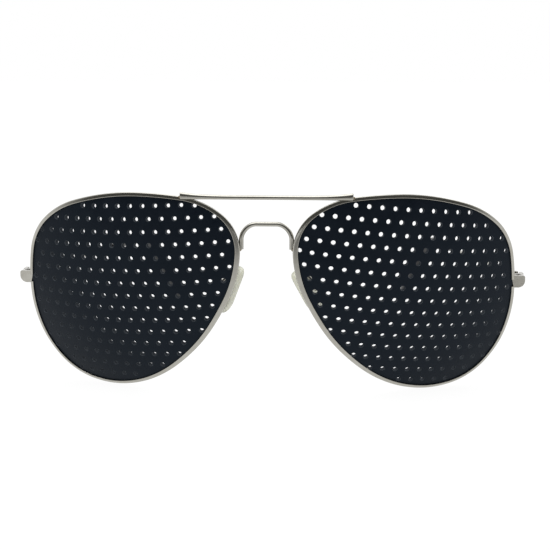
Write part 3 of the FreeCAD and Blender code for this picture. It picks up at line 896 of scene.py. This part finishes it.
@dataclass
class Rim:
    """A grooved wire round a plate, with its ends in the closing block."""

    lens: Lens
    outline: Outline
    stand: Stand
    width: float = 1.1
    web: float = 0.45
    lip: float = 0.35
    play: float = 0.05
    plate_thickness: float = PLATE_THICKNESS
    front_round: float = 0.30
    back_round: float = 0.28
    lip_round: float = 0.13
    groove_round: float = 0.04
    corner_points: int = 9
    groove_points: int = 4
    opening_low: float = 2.55
    opening_high: float = 4.65
    nasal_gain: float = 0.34
    bottom_loss: float = 0.14

    @property
    def outset(self) -> float:
        """How far the rim's outer side lies outside the plate's outline."""
        return self.play + self.web

    @property
    def front(self) -> float:
        """How far the rim's front stands before the lens surface."""
        return self.play + self.lip

    @property
    def back(self) -> float:
        """How far the rim's back lies behind the lens surface, as a negative number."""
        return -(self.plate_thickness + self.play + self.lip)

    def profile(self) -> np.ndarray:
        """The rim's section, outwards and forwards, as a closed ring: a channel with rounded corners.

        A corner of radius r is the arc centre + r (cos(a), sin(a)) over a quarter turn.
        """
        inner, outer = self.outset - self.width, self.outset
        groove_front, groove_back = self.play, -(self.plate_thickness + self.play)
        corners = (
            (inner, groove_front, self.groove_round, 270, 180), (inner, self.front, self.lip_round, 180, 90),
            (outer, self.front, self.front_round, 90, 0), (outer, self.back, self.back_round, 0, -90),
            (inner, self.back, self.lip_round, -90, -180), (inner, groove_back, self.groove_round, -180, -270),
        )
        rings = []
        for u, v, size, start, end in corners:
            count = self.groove_points if size == self.groove_round else self.corner_points
            a = np.radians(np.linspace(start, end, count))
            middle = np.radians((start + end) / 2)
            centre = np.array([u - np.sign(np.cos(middle)) * size, v - np.sign(np.sin(middle)) * size])
            rings.append(centre + size * np.stack([np.cos(a), np.sin(a)], 1))
        rings.append(np.array([[self.play, groove_back], [self.play, groove_front]]))
        return np.concatenate(rings)

    def solid(self) -> Solid:
        """The profile carried along the outline, from one level end to the other.

        A point is the outline's flat point moved outwards by u, and raised along the ball's radius by v. The
        wire is drawn wider beside the nose and narrower below: u is scaled about the section's middle by
        1 + gain n - loss b, with n and b the squares of the outline's looks towards the nose and down.
        """
        flat, outward = self.outline.samples()
        profile = self.profile()
        edge = self.lens.at(flat, 0.0 * flat[:, 0])
        temple = edge[:, 0] > self.lens.centre[0]
        inside = temple & (edge[:, 2] > self.opening_low) & (edge[:, 2] < self.opening_high)
        first = int(np.flatnonzero(inside & ~np.roll(inside, 1))[0])
        flat, outward, inside = (np.roll(x, -first, 0) for x in (flat, outward, inside))
        kept = int(inside.sum())
        order = np.r_[kept - 1:len(flat), 0]
        flat, outward = flat[order], outward[order]
        nasal, below = np.clip(-outward, 0, 1).T ** 2
        drawn = 1 + self.nasal_gain * nasal - self.bottom_loss * below
        middle = self.outset - self.width / 2
        across = middle + (profile[None, :, 0] - middle) * drawn[:, None]
        moved = flat[:, None] + outward[:, None] * self.lens.flat_size(1.0) * across[..., None]
        rings = self.lens.at(moved, np.broadcast_to(profile[None, :, 1], moved.shape[:2]))
        for index, other, height in ((0, 1, self.opening_high), (-1, -2, self.opening_low)):
            way = rings[index] - rings[other]
            share = (height - rings[other][:, 2]) / way[:, 2]
            rings[index] = rings[other] + way * share[:, None]
        return Solid.lofted(rings)

    def build(self, side: Side) -> None:
        """Makes and dresses one side's rim."""
        name = f"{side.word}_rim"
        piece = mesh_object(f"{name}_wire", self.stand.put(self.solid(), side), sharp_angle=50)
        dress(piece, Finish.FRAME_METAL, "front", name)


@dataclass
class PinholePlate:
    """A thin black plate on the ball with round holes in staggered rows.

    The shifts and back shares follow the photograph's two plates; edge_middle is 1 - cos of an eighth turn.
    """

    lens: Lens
    outline: Outline
    stand: Stand
    thickness: float = PLATE_THICKNESS
    hole_diameter: float = 1.35
    pitch: float = 3.7
    row_pitch: float = 3.63
    row_shift: float = 1.96
    pattern_start: tuple = (-12.6, 15.0)
    left_turn: float = -1.8
    right_turn: float = -4.5
    left_shift: complex = 0.1 + 0.3j
    right_shift: complex = -0.22 - 0.2j
    left_back_share: float = 0.72
    right_back_share: float = 0.92
    margin: float = 1.05
    mouth_round: float = 0.06
    edge_round: float = 0.2
    land: float = 0.05
    edge_middle: float = 0.293
    around: int = 22

    def wrapped(self, sheet: np.ndarray) -> np.ndarray:
        """Flat points of a sheet's points that are wrapped on the ball: d becomes radius tan(d / radius)."""
        distance = np.abs(sheet)
        return sheet / distance * self.lens.radius * np.tan(distance / self.lens.radius)

    def within(self, flat: np.ndarray, inset: float) -> np.ndarray:
        """Whether flat points lie inside the outline drawn in by an inset.

        A point is inside if a ray from it crosses the outline an odd number of times.
        """
        field = self.outline.loop(-inset) @ np.array([1, 1j])
        after = np.roll(field, -1)
        above = (field.imag[None] > flat.imag[:, None]) != (after.imag[None] > flat.imag[:, None])
        rise = np.where(after.imag == field.imag, 1.0, after.imag - field.imag)
        cross = field.real + (flat.imag[:, None] - field.imag) * (after.real - field.real) / rise
        return (above & (flat.real[:, None] < cross)).sum(1) % 2 == 1

    def hole_ways(self, side: Side) -> np.ndarray:
        """Unit vectors to the holes: pattern points inside the margin, wrapped on the ball.

        Each side's pattern is shifted a little, but for the holes that would run into the plate's edge.
        """
        reach = int(self.lens.width / self.row_pitch)
        row, column = np.meshgrid(np.arange(-reach, reach + 1), np.arange(-2 * reach, 2 * reach + 1), indexing="ij")
        x = self.pattern_start[0] + column * self.pitch + row * self.row_shift
        y = self.pattern_start[1] - row * self.row_pitch
        turn = np.radians(self.right_turn if side is Side.RIGHT else self.left_turn)
        sheet = (x + 1j * y).ravel() * np.exp(1j * turn)
        sheet = sheet[np.abs(sheet) / self.lens.radius < np.pi / 4]
        sheet = sheet[self.within(self.wrapped(sheet), self.margin)]
        moved = sheet + (self.right_shift if side is Side.RIGHT else self.left_shift)
        clear = self.hole_diameter / 2 + self.mouth_round + self.edge_round + self.land
        kept = self.wrapped(np.where(self.within(self.wrapped(moved), clear), moved, sheet))
        return self.lens.ways(np.stack([kept.real, kept.imag], 1))

    def rows(self, size: float) -> tuple:
        """The rows of a wall with rounded edges, from the front to the back.

        Args:
            size: the radius of both edges.

        Returns:
            How far each row lies out from the wall, as a share of the radius, and its level on the lens.
        """
        share = np.array([1.0, self.edge_middle, 0.0])
        depth = np.array([0.0, self.edge_middle, 1.0])
        levels = np.concatenate([-depth * size, -self.thickness + depth[::-1] * size])
        return np.r_[share, share[::-1]], levels

    def row_normals(self, ways: np.ndarray, sides: np.ndarray) -> np.ndarray:
        """Each row's normals: f cos(a) way + sin(a) side, with a up to a quarter turn and back, f 1 and then -1."""
        slope = np.array([0.0, np.pi / 4, np.pi / 2])
        lean = np.r_[slope, slope[::-1]][:, None, None]
        face = np.repeat([1.0, -1.0], 3)[:, None, None]
        return ways * (np.cos(lean) * face) + sides * np.sin(lean)

    def edge_grid(self) -> tuple:
        """Points and normals of the outer edge, row by row."""
        across, levels = self.rows(self.edge_round)
        flat, outward = self.outline.samples()
        loops = [flat - outward * self.lens.flat_size(self.edge_round * share) for share in across]
        points = np.stack([self.lens.at(f, np.full(len(f), level)) for f, level in zip(loops, levels)])
        sides = unit(points[2] - self.lens.at(loops[0], np.full(len(flat), levels[2])))
        return points, self.row_normals(self.lens.ways(flat)[None], sides[None])

    def hole_grids(self, side: Side) -> tuple:
        """Points and normals of each hole, row by row; the bores narrow evenly to the back."""
        ways = self.hole_ways(side)
        across, levels = self.rows(self.mouth_round)
        a = np.linspace(0, 2 * np.pi, self.around, endpoint=False)
        first = unit(np.cross(ways, self.lens.axes[:, 2]))
        second = np.cross(ways, first)
        spoke = first[:, None] * np.cos(a)[None, :, None] + second[:, None] * np.sin(a)[None, :, None]
        narrow = 1 - (self.left_back_share if side is Side.LEFT else self.right_back_share)
        radii = self.hole_diameter / 2 * (1 + narrow * levels / self.thickness) + self.mouth_round * across
        height = np.sqrt((self.lens.radius + levels) ** 2 - radii ** 2)
        points = (
            self.lens.ball + ways[:, None, None] * height[:, None, None] + spoke[:, None] * radii[:, None, None]
        )
        return points, self.row_normals(ways[:, None, None], -spoke[:, None])

    def skins(self, points: np.ndarray, loops: list) -> np.ndarray:
        """Triangles of the outline less the holes, as places in a list of the loops' points.

        Args:
            points: the points of all loops.
            loops: the number of points in the outline and in each hole.
        """
        flat = self.lens.flat(unit(points - self.lens.ball))
        ends = np.cumsum(loops)
        rings = [list(range(end - count, end)) for end, count in zip(ends, loops)]
        result = delaunay_2d_cdt([Vector(p) for p in flat.tolist()], [], rings, 0, MEETING_DISTANCE)
        chosen = [tri for tri, source in zip(result[2], result[5]) if source and all(k == 0 for k in source)]
        skin = np.array([origin[0] for origin in result[3]])[np.array(chosen)]
        wound = np.cross(flat[skin[:, 1]] - flat[skin[:, 0]], flat[skin[:, 2]] - flat[skin[:, 0]])
        skin[wound < 0] = skin[wound < 0][:, ::-1]
        return skin

    def build(self, side: Side) -> None:
        """Makes and dresses one side's plate: its edge, its holes, and one division for front and back."""
        edge, edge_normals = self.edge_grid()
        holes, hole_normals = self.hole_grids(side)
        rows, around_edge = edge.shape[:2]
        points = np.concatenate([edge.reshape(-1, 3), holes.reshape(-1, 3)])
        normals = np.concatenate([edge_normals.reshape(-1, 3), hole_normals.reshape(-1, 3)])
        starts = rows * (around_edge + self.around * np.arange(len(holes)))
        rim = grid_faces(rows, around_edge, False, True)[:, ::-1]
        walls = (grid_faces(rows, self.around, False, True)[None] + starts[:, None, None]).reshape(-1, 4)
        front = np.concatenate([np.arange(around_edge), (starts[:, None] + np.arange(self.around)).ravel()])
        back = front + (rows - 1) * np.repeat([around_edge, self.around], [around_edge, len(front) - around_edge])
        skin = self.skins(points[front], [around_edge] + [self.around] * len(holes))
        faces = np.concatenate([rim, walls]).tolist() + front[skin].tolist() + back[skin[:, ::-1]].tolist()
        solid = self.stand.put(Solid(points, faces), side)
        placed_normals = (normals * side.mirror) @ self.stand.turn.T
        name = f"{side.word}_pinhole_plate"
        piece = mesh_object(f"{name}_moulding", oriented(solid, placed_normals), normals=placed_normals)
        dress(piece, Finish.PLATE_PLASTIC, "front", name)
        # The hole walls take the lighter copy of the plate plastic: painted light on the bore walls.
        piece.data.materials.append(material_of(Finish.BORE_WALL))
        slots = np.zeros(len(piece.data.polygons), int)
        slots[len(rim):len(rim) + len(walls)] = 1
        piece.data.polygons.foreach_set("material_index", slots)
        LOG.info("plate %s has %d holes", name, len(holes))


def oriented(solid: Solid, normals: np.ndarray) -> Solid:
    """The solid with each face wound so that it looks the way of its corners' normals."""
    first = np.array([f[:3] for f in solid.faces])
    p = solid.points[first]
    looks = np.cross(p[:, 1] - p[:, 0], p[:, 2] - p[:, 0])
    wrong = np.einsum("ij,ij->i", looks, normals[first].sum(1)) < 0
    return Solid(solid.points, [f[::-1] if back else f for f, back in zip(solid.faces, wrong)])


@dataclass
class Bridges:
    """The bent bridge and the straight brow bar, with their solder."""

    lens: Lens
    outline: Outline
    stand: Stand
    rim: Rim
    bridge_radius: float = 0.65
    bridge_top: float = 21.4
    bridge_bend: float = 4.0
    foot_rise: float = 0.7
    bite: float = 0.2
    foot_round: float = 0.1
    brow_radius: float = 0.6
    brow_half_length: float = 23.5
    brow_seat: float = 22.8
    brow_end_round: float = 0.2
    brow_drop: float = 0.05
    brow_end_lift: float = 0.35
    brow_end_spread: float = 0.7
    brow_end_power: int = 5
    bridge_arch: float = 0.38
    brow_points: int = 60
    wire_around: int = 40
    bend_step: float = 0.18
    bead_sizes: tuple = (1.5, 0.62, 0.62)
    bead_shift: tuple = (-0.2, 0.35, -0.1)
    foot_bead_sizes: tuple = (0.72, 0.72, 0.85)
    foot_bead_share: float = 0.7
    foot_bead_rise: float = 0.25
    bead_rows: int = 16
    bead_around: int = 28

    def arched(self, points: np.ndarray, half: float) -> np.ndarray:
        """The bridge's line with its top raised by arch (1 - (x / half)^2), from the legs' middle upwards."""
        raised = points.copy()
        share = np.clip((points[:, 2] - (self.bridge_top - self.bridge_bend)) / self.bridge_bend, 0, 1)
        raised[:, 2] += self.bridge_arch * (1 - (points[:, 0] / half) ** 2) * share
        return raised

    def edge(self) -> np.ndarray:
        """The rim's outer edge on the lens surface."""
        loop = self.outline.loop(self.rim.outset)
        return self.lens.at(loop, 0.0 * loop[:, 0])

    def bead(self, name: str, place: np.ndarray, sizes: tuple, side: Side) -> None:
        """Makes and dresses a bead of solder: an ellipsoid place + (a cos(t) cos(s), b cos(t) sin(s), c sin(t))."""
        t = np.linspace(-np.pi / 2, np.pi / 2, self.bead_rows)[1:-1, None]
        s = np.linspace(0, 2 * np.pi, self.bead_around, endpoint=False)[None]
        a, b, c = sizes
        rings = np.stack([a * np.cos(t) * np.cos(s), b * np.cos(t) * np.sin(s), c * np.sin(t) + 0 * s], -1)
        piece = mesh_object(name, self.stand.put(Solid.lofted(rings + place), side), sharp_angle=180)
        dress(piece, Finish.SOLDER, "front")

    def build_bridge(self) -> None:
        """Makes and dresses the bridge, whose feet bite into the rims where they are nearest."""
        edge = self.edge()
        nasal = edge[np.argmin(edge[:, 0])]
        middle = self.lens.radius + (self.rim.front + self.rim.back) / 2
        depth = (self.lens.ball + unit(nasal - self.lens.ball) * middle)[1]
        half = nasal[0] - self.bridge_radius + self.bite
        foot = nasal[2] + self.foot_rise
        corners = [(-half, depth, foot), (-half, depth, self.bridge_top), (half, depth, self.bridge_top),
                   (half, depth, foot)]
        path = bent_path(corners, self.bridge_bend, self.bend_step)
        path = Path(self.arched(path.points, half), path.frames)
        path, radii = rounded_ends(path, self.bridge_radius, self.foot_round, self.foot_round)
        piece = mesh_object("bridge_wire", self.stand.put(tube(path, radii, self.wire_around)))
        dress(piece, Finish.FRAME_METAL, "front", "bridge")
        place = np.array([half + self.bridge_radius * self.foot_bead_share, depth, foot + self.foot_bead_rise])
        for side in Side:
            self.bead(f"{side.word}_bridge_solder", place, self.foot_bead_sizes, side)

    def build_brow_bar(self) -> None:
        """Makes and dresses the brow bar, whose ends are lifted and spread by (x / half length)^power."""
        edge = self.edge()
        upper = edge[edge[:, 2] > 0]
        seat = upper[np.argmin(np.abs(upper[:, 0] - self.brow_seat))]
        depth = (self.lens.ball + unit(seat - self.lens.ball) * (self.lens.radius + self.rim.front))[1]
        end = np.array([self.brow_half_length, depth, seat[2] - self.brow_drop])
        start = end * [-1, 1, 1]
        turn = bent_path([start, end], 1.0).frames[:1]
        path = Path(np.linspace(start, end, self.brow_points), np.repeat(turn, self.brow_points, 0))
        path, radii = rounded_ends(path, self.brow_radius, self.brow_end_round, self.brow_end_round)
        share = (np.abs(path.points[:, 0]) / self.brow_half_length) ** self.brow_end_power
        path.points[:, 2] += self.brow_end_lift * share
        bar = tube(path, radii, self.wire_around, 1 + self.brow_end_spread * share)
        dress(mesh_object("brow_bar_wire", self.stand.put(bar)), Finish.FRAME_METAL, "front", "brow_bar")
        place = np.array([self.brow_seat, depth, seat[2]]) + self.bead_shift
        for side in Side:
            self.bead(f"{side.word}_brow_solder", place, self.bead_sizes, side)

    def build(self) -> None:
        """Makes and dresses both wires and their solder."""
        self.build_bridge()
        self.build_brow_bar()


@dataclass
class Temple:
    """A temple's wire with its leaf and knuckle, and the black sleeve on its end."""

    stand: Stand
    wire_across: float = 2.55
    ear_distance: float = 95.0
    ear_drop: float = 43.0
    ear_inward: float = 6.4
    ear_bend: float = 20.0
    tip_length: float = 36.5
    converge: float = 13.5
    sleeve_start: float = 64.0
    sleeve_front_radius: float = 1.0
    sleeve_radius: float = 1.45
    sleeve_end_radius: float = 1.65
    sleeve_taper: float = 12.0
    sleeve_flare: float = 16.0
    mouth_round: float = 0.18
    mouth_clear: float = 1.2
    mouth_rows: int = 5
    cap_rows: int = 12
    pole_radius: float = 0.01
    around: int = 40
    bend_step: float = 0.4

    def hinge(self) -> np.ndarray:
        """The hinge's middle in the wearing frame, from the joint."""
        return self.stand.back(joint_named("right_temple_fold")["pos_m"])

    def route(self) -> Path:
        """The wire's line in the wearing frame, from the hinge to the sleeve's end."""
        corner = np.array([self.wire_across, self.ear_distance, 0.0])
        way = turned(turned(np.array([0.0, 1, 0]), np.array([1.0, 0, 0]), -self.ear_drop), UP, self.ear_inward)
        corners = [(self.wire_across, 0, 0), corner, corner + way * self.tip_length]
        path = bent_path(corners, self.ear_bend, self.bend_step)
        turn = turning(UP, np.radians(self.converge))
        return Path(path.points @ turn.T + self.hinge(), turn @ path.frames)

    def sleeve(self) -> Solid:
        """The sleeve: its radius grows over the taper, stays, grows over the flare and closes in a half ball."""
        route = self.route()
        total = route.lengths[-1]
        round_start = total - self.sleeve_end_radius
        flare_start = round_start - self.sleeve_flare
        marks = [self.sleeve_start, self.sleeve_start + self.sleeve_taper, flare_start, round_start]
        sizes = [self.sleeve_front_radius, self.sleeve_radius, self.sleeve_radius, self.sleeve_end_radius]
        body = route.cut(self.sleeve_start, round_start)
        radii = np.interp(body.lengths + self.sleeve_start, marks, sizes)
        lip = np.linspace(0, np.pi / 2, self.mouth_rows + 1)[:-1]
        start, way = body.points[0], body.frames[0][:, 2]
        lip_points = start + way * (self.mouth_round * (1 - np.sin(lip)))[:, None]
        lip_radii = self.sleeve_front_radius - self.mouth_round * (1 - np.cos(lip))
        late = body.lengths > self.mouth_round * self.mouth_clear
        t = np.linspace(0, np.pi / 2, self.cap_rows + 1)[1:]
        end, end_way = body.points[-1], body.frames[-1][:, 2]
        cap_points = end + end_way * (self.sleeve_end_radius * np.sin(t))[:, None]
        cap_radii = np.maximum(self.sleeve_end_radius * np.cos(t), self.pole_radius)
        points = np.concatenate([lip_points[::-1], body.points[late], cap_points])
        frames = np.concatenate([
            np.repeat(body.frames[:1], len(lip), 0), body.frames[late], np.repeat(body.frames[-1:], len(t), 0)
        ])
        return tube(Path(points, frames), np.concatenate([lip_radii[::-1], radii[late], cap_radii]), self.around)

    def build(self, side: Side) -> None:
        """Makes and dresses one side's temple and sleeve."""
        body = f"{side.word}_temple"
        sleeve = mesh_object(f"{body}_sleeve", self.stand.put(self.sleeve(), side))
        dress(sleeve, Finish.TIP_PLASTIC, body, f"{body}_tip")
        wire = merged_copy(f"{body}_wire", [body], bevel=0.05)
        dress(wire, Finish.FRAME_METAL, body)


@dataclass
class NosePad:
    """A soft pad crowned like a pillow, egg-shaped in outline, round its clear core."""

    stand: Stand
    frontal: float = 33.0
    splay: float = 30.0
    rest_rock: float = 6.0
    length: float = 14.0
    top_radius: float = 2.6
    bottom_radius: float = 3.6
    thickness: float = 2.0
    stem_reach: float = 1.5
    fullness: float = 5.0
    around: int = 72
    rows: int = 40

    def axes(self) -> np.ndarray:
        """Columns back, up the length and out of the face, in the wearing frame."""
        back = turned(np.array([0.0, 1, 0]), UP, -self.splay)
        face = turned(turned(np.array([-1.0, 0, 0]), UP, -self.splay), back, -self.frontal)
        down = turned(-UP, back, -self.frontal)
        return np.stack([back, -down, face], 1)

    def egg(self) -> np.ndarray:
        """The outline: at each angle the farthest of the two end circles and the straight sides.

        The egg is the hull of two circles, so its reach along a direction n is the larger of c.n + r of both;
        the outline's point is that circle's centre plus r n, and equal steps of n crowd the round ends.
        """
        rise, drop = self.length / 2 - self.top_radius, self.length / 2 - self.bottom_radius
        lean = math.asin((self.bottom_radius - self.top_radius) / (rise + drop))
        quarter = self.around // 4
        top = np.linspace(lean, np.pi - lean, quarter)
        low = np.linspace(np.pi - lean, 2 * np.pi + lean, quarter)
        top_arc = np.stack([np.cos(top), np.sin(top)], 1) * self.top_radius + [0, rise]
        low_arc = np.stack([np.cos(low), np.sin(low)], 1) * self.bottom_radius - [0, drop]
        share = np.linspace(0, 1, quarter + 2)[1:-1, None]
        left = top_arc[-1] * (1 - share) + low_arc[0] * share
        right = low_arc[-1] * (1 - share) + top_arc[0] * share
        return np.concatenate([top_arc, left, low_arc, right])

    def solid(self) -> Solid:
        """The pillow: the outline drawn in by cos(t)^(2/p) while the height is sin(t)^(2/p), p the fullness."""
        t = np.linspace(-np.pi / 2, np.pi / 2, self.rows)[1:-1]
        share = np.cos(t) ** (2 / self.fullness)
        height = np.sign(t) * np.abs(np.sin(t)) ** (2 / self.fullness) * self.thickness / 2
        egg = self.egg()
        rings = np.concatenate(
            [egg[None] * share[:, None, None], np.broadcast_to(height[:, None, None], (len(t), len(egg), 1))], 2
        )
        return Solid.lofted(rings)

    def build(self, side: Side) -> None:
        """Makes and dresses one side's pad, turned on its screw as it rests."""
        pivot = self.stand.back(joint_named(f"{side.word}_pad_rock")["pos_m"]) * side.mirror
        axes = self.axes()
        rock = self.rest_rock if side is Side.LEFT else -self.rest_rock
        solid = self.solid().moved(axes, axes[:, 2] * (self.thickness / 2 + self.stem_reach))
        solid = solid.moved(turning(axes[:, 0], np.radians(rock)), pivot)
        name = f"{side.word}_nose_pad"
        piece = mesh_object(f"{name}_silicone", self.stand.put(solid, side), sharp_angle=80)
        dress(piece, Finish.PAD_SILICONE, f"{side.word}_pad", name)
        core = merged_copy(f"{side.word}_pad_core_insert", [f"{side.word}_pad_core"], bevel=0.05)
        dress(core, Finish.CORE_PLASTIC, f"{side.word}_pad")


@dataclass
class Hardware:
    """The blocks, end pieces, screws, boxes and pad arms, which keep their machined shapes."""

    edges: tuple = (
        ("closing_block_upper", Finish.FRAME_METAL, 0.12), ("closing_block_lower", Finish.FRAME_METAL, 0.12),
        ("end_piece", Finish.FRAME_METAL, 0.08), ("rim_screw", Finish.SCREW_STEEL, 0.05),
        ("hinge_screw", Finish.SCREW_STEEL, 0.05), ("pad_box", Finish.FRAME_METAL, 0.05),
        ("pad_screw", Finish.SCREW_STEEL, 0.04), ("pad_arm", Finish.FRAME_METAL, 0.0),
    )

    def build(self, side: Side) -> None:
        """Makes and dresses one side's hardware."""
        for word, finish, bevel in self.edges:
            node = f"{side.word}_{word}"
            piece = merged_copy(f"{node}_finished", [node], bevel)
            dress(piece, finish, "front")


@dataclass(frozen=True)
class Softbox:
    """A square soft lamp: its place and aim and the length of its side in metres, and its power in watts."""

    name: str
    place: tuple
    size: float
    power: float
    aim: tuple = (0.0, 0.0, 0.02)

    def build(self) -> None:
        """Hangs the lamp."""
        data = bpy.data.lights.new(self.name, "AREA")
        data.size = self.size
        data.energy = self.power
        lamp = linked(self.name, data)
        lamp.location = self.place
        way = Vector(self.aim) - Vector(self.place)
        lamp.rotation_euler = way.to_track_quat("-Z", "Y").to_euler()


@dataclass
class Studio:
    """The floor, the surroundings, the lamps and the camera.

    What metal and plastic reflect of the front is dark: the floor over floor_dark_y within floor_dark_x, and
    the room over the directions room_dark_y and room_dark_z. Each pair runs from light to dark.
    """

    camera_place: tuple = (24.121, -460.521, 109.348)
    camera_forward: tuple = (-0.05487, 0.98096, -0.18630)
    camera_up: tuple = (-0.01078, 0.18599, 0.98249)
    focal_pixels: float = 1456.963
    picture_pixels: float = 550.0
    sensor: float = 36.0
    clip_start: float = 0.01
    floor_size: float = 3.0
    floor_glow: float = 0.93
    floor_shade: tuple = (0.10, 0.10, 0.10, 1)
    floor_bounce: tuple = (0.8, 0.8, 0.8, 1)
    front_floor: float = 0.20
    floor_dark_y: tuple = (-0.08, -0.33)
    floor_dark_x: tuple = (0.13, 0.07)
    room_dark_y: tuple = (-0.20, -0.55)
    room_dark_z: tuple = (0.80, 0.50)
    white: tuple = (1, 1, 1, 1)
    ambient: tuple = (0.75, 0.75, 0.75, 1)
    dark_room: tuple = (0.10, 0.10, 0.095, 1)
    lamps: tuple = (
        Softbox("top_softbox", (-0.15, -0.1, 0.9), 0.8, 4.0), Softbox("back_softbox", (0.5, 0.6, 0.6), 0.5, 1.5)
    )

    def build_camera(self) -> None:
        """Sets the camera where the photograph was taken from."""
        data = bpy.data.cameras.new("camera")
        data.sensor_width = self.sensor
        data.lens = self.focal_pixels / self.picture_pixels * self.sensor
        data.clip_start = self.clip_start
        camera = linked("camera", data)
        back = -unit(np.array(self.camera_forward))
        right = unit(np.cross(self.camera_up, back))
        turn = np.stack([right, np.cross(back, right), back], 1)
        camera.matrix_world = Matrix.Translation(Vector(self.camera_place) * MM) @ Matrix(turn.tolist()).to_4x4()
        bpy.context.scene.camera = camera

    @staticmethod
    def rays(nodes: Nodes, *kinds: str) -> bpy.types.NodeSocket:
        """One where a ray is of one of the kinds, such as Camera or Glossy."""
        path = nodes.add("ShaderNodeLightPath")
        result = path.outputs[f"Is {kinds[0]} Ray"]
        for kind in kinds[1:]:
            result = nodes.value("MAXIMUM", result, path.outputs[f"Is {kind} Ray"])
        return result

    def build_floor(self) -> None:
        """A wide white floor that glows for what looks at it and keeps a faint shadow; what reflects it sees a
        painted dark patch in front of the glasses.
        """
        half = self.floor_size / 2
        mesh = bpy.data.meshes.new("studio_floor")
        mesh.from_pydata([(-half, -half, 0), (half, -half, 0), (half, half, 0), (-half, half, 0)], [], [(0, 1, 2, 3)])
        floor = linked("studio_floor", mesh)
        material = bpy.data.materials.new("white_sweep")
        nodes = Nodes.of(material)
        # Painted reflection: a dark patch of floor in front of the glasses that only glossy rays see; camera rays see
        # the floor there white.
        point = nodes.add("ShaderNodeTexCoord").outputs["Object"]
        place = nodes.add("ShaderNodeSeparateXYZ", None, Vector=point)
        ahead = nodes.spread(place.outputs["Y"], *self.floor_dark_y)
        aside = nodes.spread(nodes.value("ABSOLUTE", place.outputs["X"]), *self.floor_dark_x)
        dark = nodes.value("MULTIPLY", ahead, aside)
        reflected = nodes.spread(dark, 0.0, 1.0, self.floor_glow, self.front_floor)
        direct = self.rays(nodes, "Camera", "Transmission")
        strength = nodes.spread(direct, 0.0, 1.0, reflected, self.floor_glow)
        glow = nodes.add("ShaderNodeEmission", None, Color=self.white, Strength=strength)
        shade = nodes.add("ShaderNodeBsdfDiffuse", None, Color=self.floor_shade)
        bright = nodes.add("ShaderNodeAddShader", None, i0=shade.outputs[0], i1=glow.outputs[0])
        plain = nodes.add("ShaderNodeBsdfDiffuse", None, Color=self.floor_bounce)
        seen = self.rays(nodes, "Glossy", "Transmission", "Camera")
        mixed = nodes.add("ShaderNodeMixShader", None, i0=seen, i1=plain.outputs[0], i2=bright.outputs[0])
        nodes.add("ShaderNodeOutputMaterial", None, Surface=mixed.outputs[0])
        mesh.materials.append(material)

    def build_world(self) -> None:
        """White surroundings, with the unlit front of the room in what metal reflects."""
        world = bpy.data.worlds.new("studio")
        nodes = Nodes.of(world)
        way = nodes.add("ShaderNodeSeparateXYZ", None, Vector=nodes.add("ShaderNodeTexCoord").outputs["Generated"])
        front = nodes.spread(way.outputs["Y"], *self.room_dark_y)
        low = nodes.spread(way.outputs["Z"], *self.room_dark_z)
        room = nodes.blend(nodes.value("MULTIPLY", front, low), self.white, self.dark_room)
        colour = nodes.blend(self.rays(nodes, "Glossy", "Transmission"), self.ambient, room)
        colour = nodes.blend(self.rays(nodes, "Camera"), colour, self.white)
        background = nodes.add("ShaderNodeBackground", None, Color=colour, Strength=1.0)
        nodes.add("ShaderNodeOutputWorld", None, Surface=background.outputs[0])
        bpy.context.scene.world = world

    def build(self) -> None:
        """Makes the whole studio."""
        bpy.context.scene.view_settings.view_transform = "Standard"
        self.build_camera()
        self.build_floor()
        self.build_world()
        for lamp in self.lamps:
            lamp.build()


def main() -> None:
    """Builds the glasses and the studio."""
    logging.basicConfig(level=logging.INFO, format="%(message)s")
    lens = Lens()
    outline = Outline(lens)
    stand = Stand.found(lens, outline, PLATE_THICKNESS)
    rim = Rim(lens, outline, stand)
    plate = PinholePlate(lens, outline, stand)
    temple, pad, hardware = Temple(stand), NosePad(stand), Hardware()
    for side in Side:
        for part in (rim, plate, temple, pad, hardware):
            part.build(side)
    Bridges(lens, outline, stand, rim).build()
    Studio().build()


if __name__ == "__main__":
    main()
